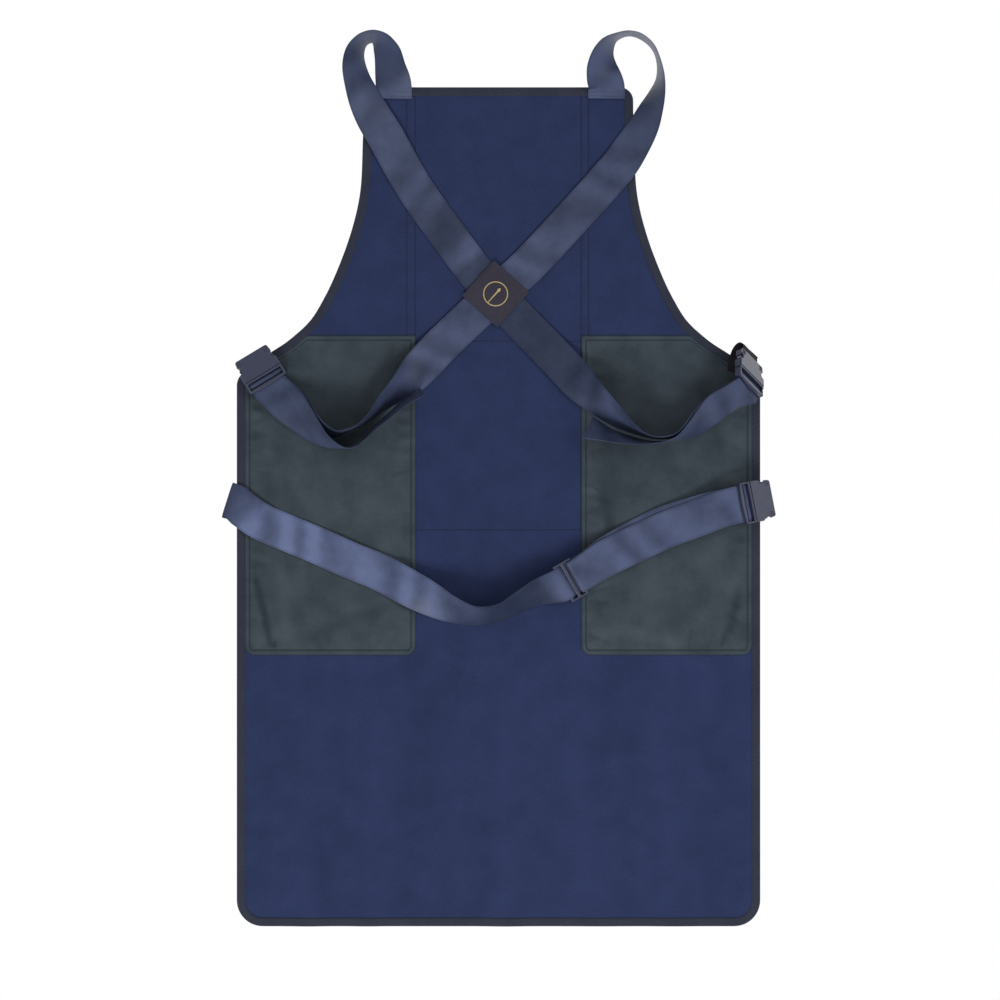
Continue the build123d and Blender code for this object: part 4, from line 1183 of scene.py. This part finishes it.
# %% [markdown]
# ## Patch
# A square patch holds the two straps together where they cross, with a backing square under them.
# The badge is raised embroidery. It could be painted into the patch's colour, but real thread
# stands up and catches light, so a plain ring with a paint brush is made as a solid shape.

# %% Patch and badge
CROSS, PATCH_SIZE, PATCH_TURN = np.array([-3.0, 656.0]), 49.0, -42.0
PATCH_TOP, BADGE_R = 4.5 + WEB_T / 2 + 0.05, 12.4


def square_grid(cx, cy, size, angle, z, n=25):
    """A square sheet turned by angle, its rim pressed down a little."""
    t = np.linspace(-1, 1, n)
    a, b = np.meshgrid(t, t, indexing="ij")
    c, s = math.cos(math.radians(angle)), math.sin(math.radians(angle))
    x, y = a * size / 2, b * size / 2
    rim = np.maximum(np.abs(a), np.abs(b))
    zz = z + 0.25 * (1 - smoothstep(0.86, 1.0, rim)) - 0.12 * np.exp(-((rim - 0.9) / 0.03) ** 2)
    return np.stack([cx + x * c - y * s, cy + x * s + y * c, zz], -1)


def crossing_square(name, z, thick, node):
    """A square of patch cloth centred on the crossing."""
    square = square_grid(*CROSS, PATCH_SIZE, PATCH_TURN, z)
    obj = make_object(name, *sheet_mesh(square, thick), body="apron")
    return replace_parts(coat(obj, PATCH), node)


patch = crossing_square("cross patch", PATCH_TOP + 0.45, 0.9, "cross_patch")
backing = crossing_square("cross patch backing", 2.3, 0.45, "cross_patch_backing")
a = np.radians(np.arange(0, 360, 4.0))
ring_path = np.c_[CROSS + BADGE_R * np.c_[np.cos(a), np.sin(a)], np.full(len(a), PATCH_TOP + 1.2)]
ring_out = np.c_[np.cos(a), np.sin(a), np.zeros(len(a))]
ring = tube_mesh(flat_ring(ring_path, ring_out, 1.1, 0.5, 2.2, 8), closed=True)
brush = Plane(*CROSS, PATCH_TOP + 1.0, 48.0, 0.0, 0.0)
handle = prism([(-12.2, -0.4), (3.4, -0.8), (3.4, 0.8), (-12.2, 0.4)], 0.0, 0.5, 0.15)
head = prism([(3.3, -1.2), (5.4, -1.7), (8.0, 0.0), (5.4, 1.7), (3.3, 1.2)], 0.0, 0.5, 0.15)
brush_points, brush_faces = merge([handle, head])
badge = make_object("badge", *merge([ring, (brush.at(brush_points), brush_faces)]), body="apron")
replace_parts(coat(badge, GOLD), "patch_emblem")
print("badge radius:", BADGE_R, "patch side:", PATCH_SIZE)

# %% [markdown]
# ## Front pockets and welts
# Two patch pockets and the bound mouths of the hanging bags are on the apron's front, so here
# they lie under the body. Nothing shows but a seam, yet the piece has to be whole when it is
# turned over. Each pocket is a thin sheet that stands out a little at its turned-in rim and its
# mouth hem; each welt is a crescent between the mouth's arc and a larger one.

# %% Front pockets and welts
POCKET_HALF, WELT_W = 89.0, 7.0


def patch_pocket(name, y0, tall, hem, node):
    """A patch pocket with a doubled hem at its mouth, its rim turned in and pressed."""
    top = y0 + tall
    y = np.unique(np.r_[np.arange(y0, top, 4.0), y0 + 1.0, top + np.array([-0.6, 0, 0.6, 3, 6, 9]),
                        top + hem].round(3))
    x = np.unique(np.r_[np.linspace(-POCKET_HALF, POCKET_HALF, 60), 1 - POCKET_HALF,
                        POCKET_HALF - 1])
    xx, yy = np.meshgrid(x, y)
    rim = np.minimum(POCKET_HALF - np.abs(xx), yy - y0)
    thick = 0.55 + 0.25 * np.exp(-(rim / 5.0) ** 4) + 0.35 * smoothstep(-0.7, 0.7, yy - y0 - tall)
    z = 1.15 - thick / 2
    obj = make_object(name, *sheet_mesh(np.stack([xx, yy, z], -1), 0.5), body="apron")
    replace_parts(coat(obj, CLOTH), node)
    return obj


patch_pocket("chest pocket cloth", 607.0, 146.0, 12.0, "chest_pocket")
patch_pocket("centre pocket cloth", 411.0, 168.0, 12.0, "centre_pocket")
for label, sign in (("left", -1), ("right", 1)):
    low_y, high_y, deep = MOUTH
    y = np.linspace(low_y - 6.5, high_y + 6.5, 70)
    grown, deeper = (high_y - low_y) / 2 + WELT_W, deep + WELT_W
    radius = (grown**2 + deeper**2) / (2 * deeper)
    far_x = np.sqrt(np.maximum(radius**2 - (y - (low_y + high_y) / 2) ** 2, 0)) - radius + deeper
    near_x = np.maximum(mouth_depth(y) - 0.8, 0.35)
    t = np.linspace(0, 1, 12)
    x = SEAM_X + near_x[:, None] + np.maximum(far_x - near_x, 0.5)[:, None] * t
    z = 0.78 + 0.12 * np.sin(np.pi * t) + 0 * x
    grid = np.stack([sign * x, np.repeat(y[:, None], 12, 1), z], -1)
    welt = make_object(f"{label} pocket welt", *sheet_mesh(grid, 0.75), body="apron")
    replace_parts(coat(welt, BINDING), f"{label}_pocket_welt")
print("front pockets made")

# %% [markdown]
# ## Stitches
# Every seam is a row of short threads, a little over 2 mm long at a pitch of 3 mm. A bump pattern
# could stand for them, but real threads cast a shadow along the seam. Each is a spindle of three
# four-cornered rings whose ends dip into the cloth, all of a row worked out at once.

# %% Stitches
ALL_LEVELS = (607.0, 422.0, 411.0)
SEW_FACE, SEW_HALF = 1.02, 16.5


def stitch_row(path, pitch=3.0, share=0.72, radius=0.24, lift=0.12):
    """Points and faces of a row of threads along a path."""
    p = np.asarray(path, float)
    s = np.r_[0, np.cumsum(np.linalg.norm(np.diff(p, axis=0), axis=1))]
    count = max(1, int(s[-1] / pitch))
    start = (np.arange(count) + 0.5) * s[-1] / count
    at = start[:, None] + np.array([-0.5, 0.0, 0.5]) * pitch * share
    c = np.stack([np.interp(at, s, p[:, k]) for k in range(3)], -1)
    t = unit(c[:, 2] - c[:, 0])
    side_dir = unit(np.cross(t, [0.0, 0.0, 1.0]))
    up = np.cross(side_dir, t)
    c[:, 1] += up * lift
    c[:, 0] -= up * lift
    c[:, 2] -= up * lift
    size = np.array([0.5, 1.0, 0.5]) * radius
    turn = [(1, 0), (0, 1), (-1, 0), (0, -1)]
    corners = np.stack([a * side_dir + b * up for a, b in turn], 1)
    rings = c[:, :, None] + corners[:, None] * size[None, :, None, None]
    points = rings.reshape(-1, 3)
    one = grid_faces(3, 4, wrap=True) + [[3, 2, 1, 0], [8, 9, 10, 11]]
    sample = np.cross(points[one[0][1]] - points[one[0][0]], points[one[0][2]] - points[one[0][0]])
    if np.dot(sample, points[one[0][0]] - c[0, :2].mean(0)) < 0:
        one = [f[::-1] for f in one]
    faces = [[i + 12 * k for i in f] for k in range(count) for f in one]
    return points, faces


def on_cloth(xy, raised=0.42):
    """A flat line laid on the body cloth."""
    xy = np.asarray(xy, float)
    steps = max(2, int(np.linalg.norm(np.diff(xy, axis=0), axis=1).sum() / 4))
    s = np.r_[0, np.cumsum(np.linalg.norm(np.diff(xy, axis=0), axis=1))]
    at = np.linspace(0, s[-1], steps)
    x, y = np.interp(at, s, xy[:, 0]), np.interp(at, s, xy[:, 1])
    return np.c_[x, y, cloth_z(x, y) + raised]


def sewn(name, rows, material):
    """One object from several rows of stitches."""
    obj = make_object(name, *merge(rows), body="apron")
    return coat(obj, material)


seams = []
for at in SEAM_LINES:
    seams.append(stitch_row(on_cloth([(at, 615), (at, 861)])))
for at in ALL_LEVELS:
    seams.append(stitch_row(on_cloth([(-86, at), (86, at)])))
sewn("body stitching", seams, THREAD)

edge_rows = []
for sign in (-1, 1):
    run, out, _ = outline_run(0, len(RIGHT_EDGE) - 1, sign)
    xy = run - out * (BIND_IN - 1.4)
    edge_rows.append(stitch_row(np.c_[xy, cloth_z(xy[:, 0], xy[:, 1]) + 1.35], lift=0.08))
sewn("binding stitching", edge_rows, DARK_THREAD)


def bag_rim_row(sign):
    """The row of stitches round a bag, at the foot of its rim."""
    grid, _, _ = bag_grid(sign)
    foot = 5.2
    x0, y0, x1 = BAG["x_in"] + foot, BAG["bottom"] + foot, side - BAG["margin"] - 6.6
    corner = BAG["radius"] - foot
    line = np.vstack([[(x0, 606.0), (x0, y0 + corner)],
                      arc(x0 + corner, y0 + corner, corner, 180, 270, 9),
                      arc(x1 - corner, y0 + corner, corner, 270, 360, 9), [(x1, 560.0)]])
    s = np.r_[0, np.cumsum(np.linalg.norm(np.diff(line, axis=0), axis=1))]
    at = np.linspace(0, s[-1], 260)
    x, y = np.interp(at, s, line[:, 0]), np.interp(at, s, line[:, 1])
    flat = grid.reshape(-1, 3)
    gap = (flat[None, :, 0] - sign * x[:, None]) ** 2 + (flat[None, :, 1] - y[:, None]) ** 2
    z = flat[np.argmin(gap, 1), 2]
    return stitch_row(np.c_[sign * x, y, z + 0.33], lift=0.06)


for label, sign in (("left", -1), ("right", 1)):
    sewn(f"{label} bag stitching", [bag_rim_row(sign)], DARK_THREAD)


def across_rows(run, ends, at_end=True):
    """Stitches across a strap at these distances from one of its ends, on both of its faces."""
    c, v = (a[::-1] for a in run) if at_end else run
    s = np.r_[0, np.cumsum(np.linalg.norm(np.diff(c, axis=0), axis=1))]
    rows = []
    for far in ends:
        i = min(int(np.searchsorted(s, far)), len(s) - 2)
        t = unit(c[i + 1] - c[i])
        w = unit(v[i] - t * np.dot(v[i], t))
        n = np.cross(t, w)
        middle = c[i] + t * (far - s[i])
        for face in (-1, 1):
            lift = n * face * SEW_FACE
            line = np.array([middle - w * SEW_HALF + lift, middle + w * SEW_HALF + lift])
            rows.append(stitch_row(line, 2.6, lift=0.0))
    return rows


for label, run in (("left", left_run), ("right", right_run)):
    sewn(f"{label} tail stitching", across_rows(run, (2.5, 9.5)), THREAD)
starts = across_rows(left_run, (2.5, 7.0), False) + across_rows(right_run, (2.5, 7.0), False)
sewn("strap sewing", starts, THREAD)
c, s = math.cos(math.radians(PATCH_TURN)), math.sin(math.radians(PATCH_TURN))
corners = CROSS + np.array([(-22, -22), (22, -22), (22, 22), (-22, 22)]) @ [[c, s], [-s, c]]
corners = np.c_[corners, np.full(4, PATCH_TOP + 0.98)]
square = [stitch_row([start, end], 2.6, lift=0.05)
          for start, end in zip(corners, np.roll(corners, -1, 0))]
sewn("patch stitching", square, DARK_THREAD)
print("stitch rows on the body and its binding:", len(seams) + len(edge_rows))

# %% [markdown]
# ## Cloth sizes
# No cut sizes or flat areas of the cloth sheets are given here.

# %% Cloth sizes
print("cloth sheets made")

# %% [markdown]
# ## Stage
# A white ground and a bright surround keep shadows pale. A large key light from the hem's side
# shapes the folds, a weaker fill comes from the bib's side, and a low side light brings out the
# straps. The camera looks straight down from 3 m; its lens is set so that 1.04 m of ground fills
# the picture: lens = sensor x height / width.

# %% Stage
WHITE, SURROUND = (1, 1, 1, 1), 0.45
SENSOR_MM, CAMERA_MM, VIEW_MM = 36.0, 3000.0, 1040.0

bpy.ops.mesh.primitive_plane_add(size=12, location=(0, 0, -0.0005))
ground = bpy.context.object
ground.name = "ground"
ground_mat = bpy.data.materials.new("white ground")
ground_mat.use_nodes = True
nodes = ground_mat.node_tree.nodes
nodes.remove(nodes["Principled BSDF"])
glow = shader_node(ground_mat.node_tree, "ShaderNodeEmission", inputs={"Color": WHITE})
ground_mat.node_tree.links.new(glow.outputs[0], nodes["Material Output"].inputs["Surface"])
ground.data.materials.append(ground_mat)

world = bpy.data.worlds.new("surround")
bpy.context.scene.world = world
world.use_nodes = True
world.node_tree.nodes["Background"].inputs["Color"].default_value = WHITE
world.node_tree.nodes["Background"].inputs["Strength"].default_value = SURROUND


def area_light(name, place, aim, size, power):
    """A square lamp in metres, its local -Z turned towards the aim."""
    lamp = bpy.data.lights.new(name, "AREA")
    lamp.shape, lamp.size, lamp.energy = "SQUARE", size, power
    obj = bpy.data.objects.new(name, lamp)
    bpy.context.collection.objects.link(obj)
    obj.location = place
    ahead = np.array(aim, float) - np.array(place, float)
    ahead /= np.linalg.norm(ahead)
    yaw = math.atan2(ahead[1], ahead[0])
    obj.rotation_euler = (math.acos(-ahead[2]), 0.0, yaw - math.pi / 2)


area_light("key", (-0.5, -2.4, 2.2), (0, 0, 0), 1.1, 64)
area_light("fill", (0.8, 1.6, 2.4), (0, 0, 0), 1.6, 14)
area_light("side", (2.4, 0.2, 1.9), (0.2, 0, 0), 0.9, 16)

camera_data = bpy.data.cameras.new("camera")
camera = bpy.data.objects.new("camera", camera_data)
bpy.context.collection.objects.link(camera)
camera.location = to_row((1.56, 442.0, CAMERA_MM))
camera_data.sensor_width = SENSOR_MM
camera_data.lens = SENSOR_MM * CAMERA_MM / VIEW_MM
bpy.context.scene.camera = camera
scene = bpy.context.scene
scene.view_settings.view_transform = "Standard"
scene.view_settings.look = "None"
print("stage ready")
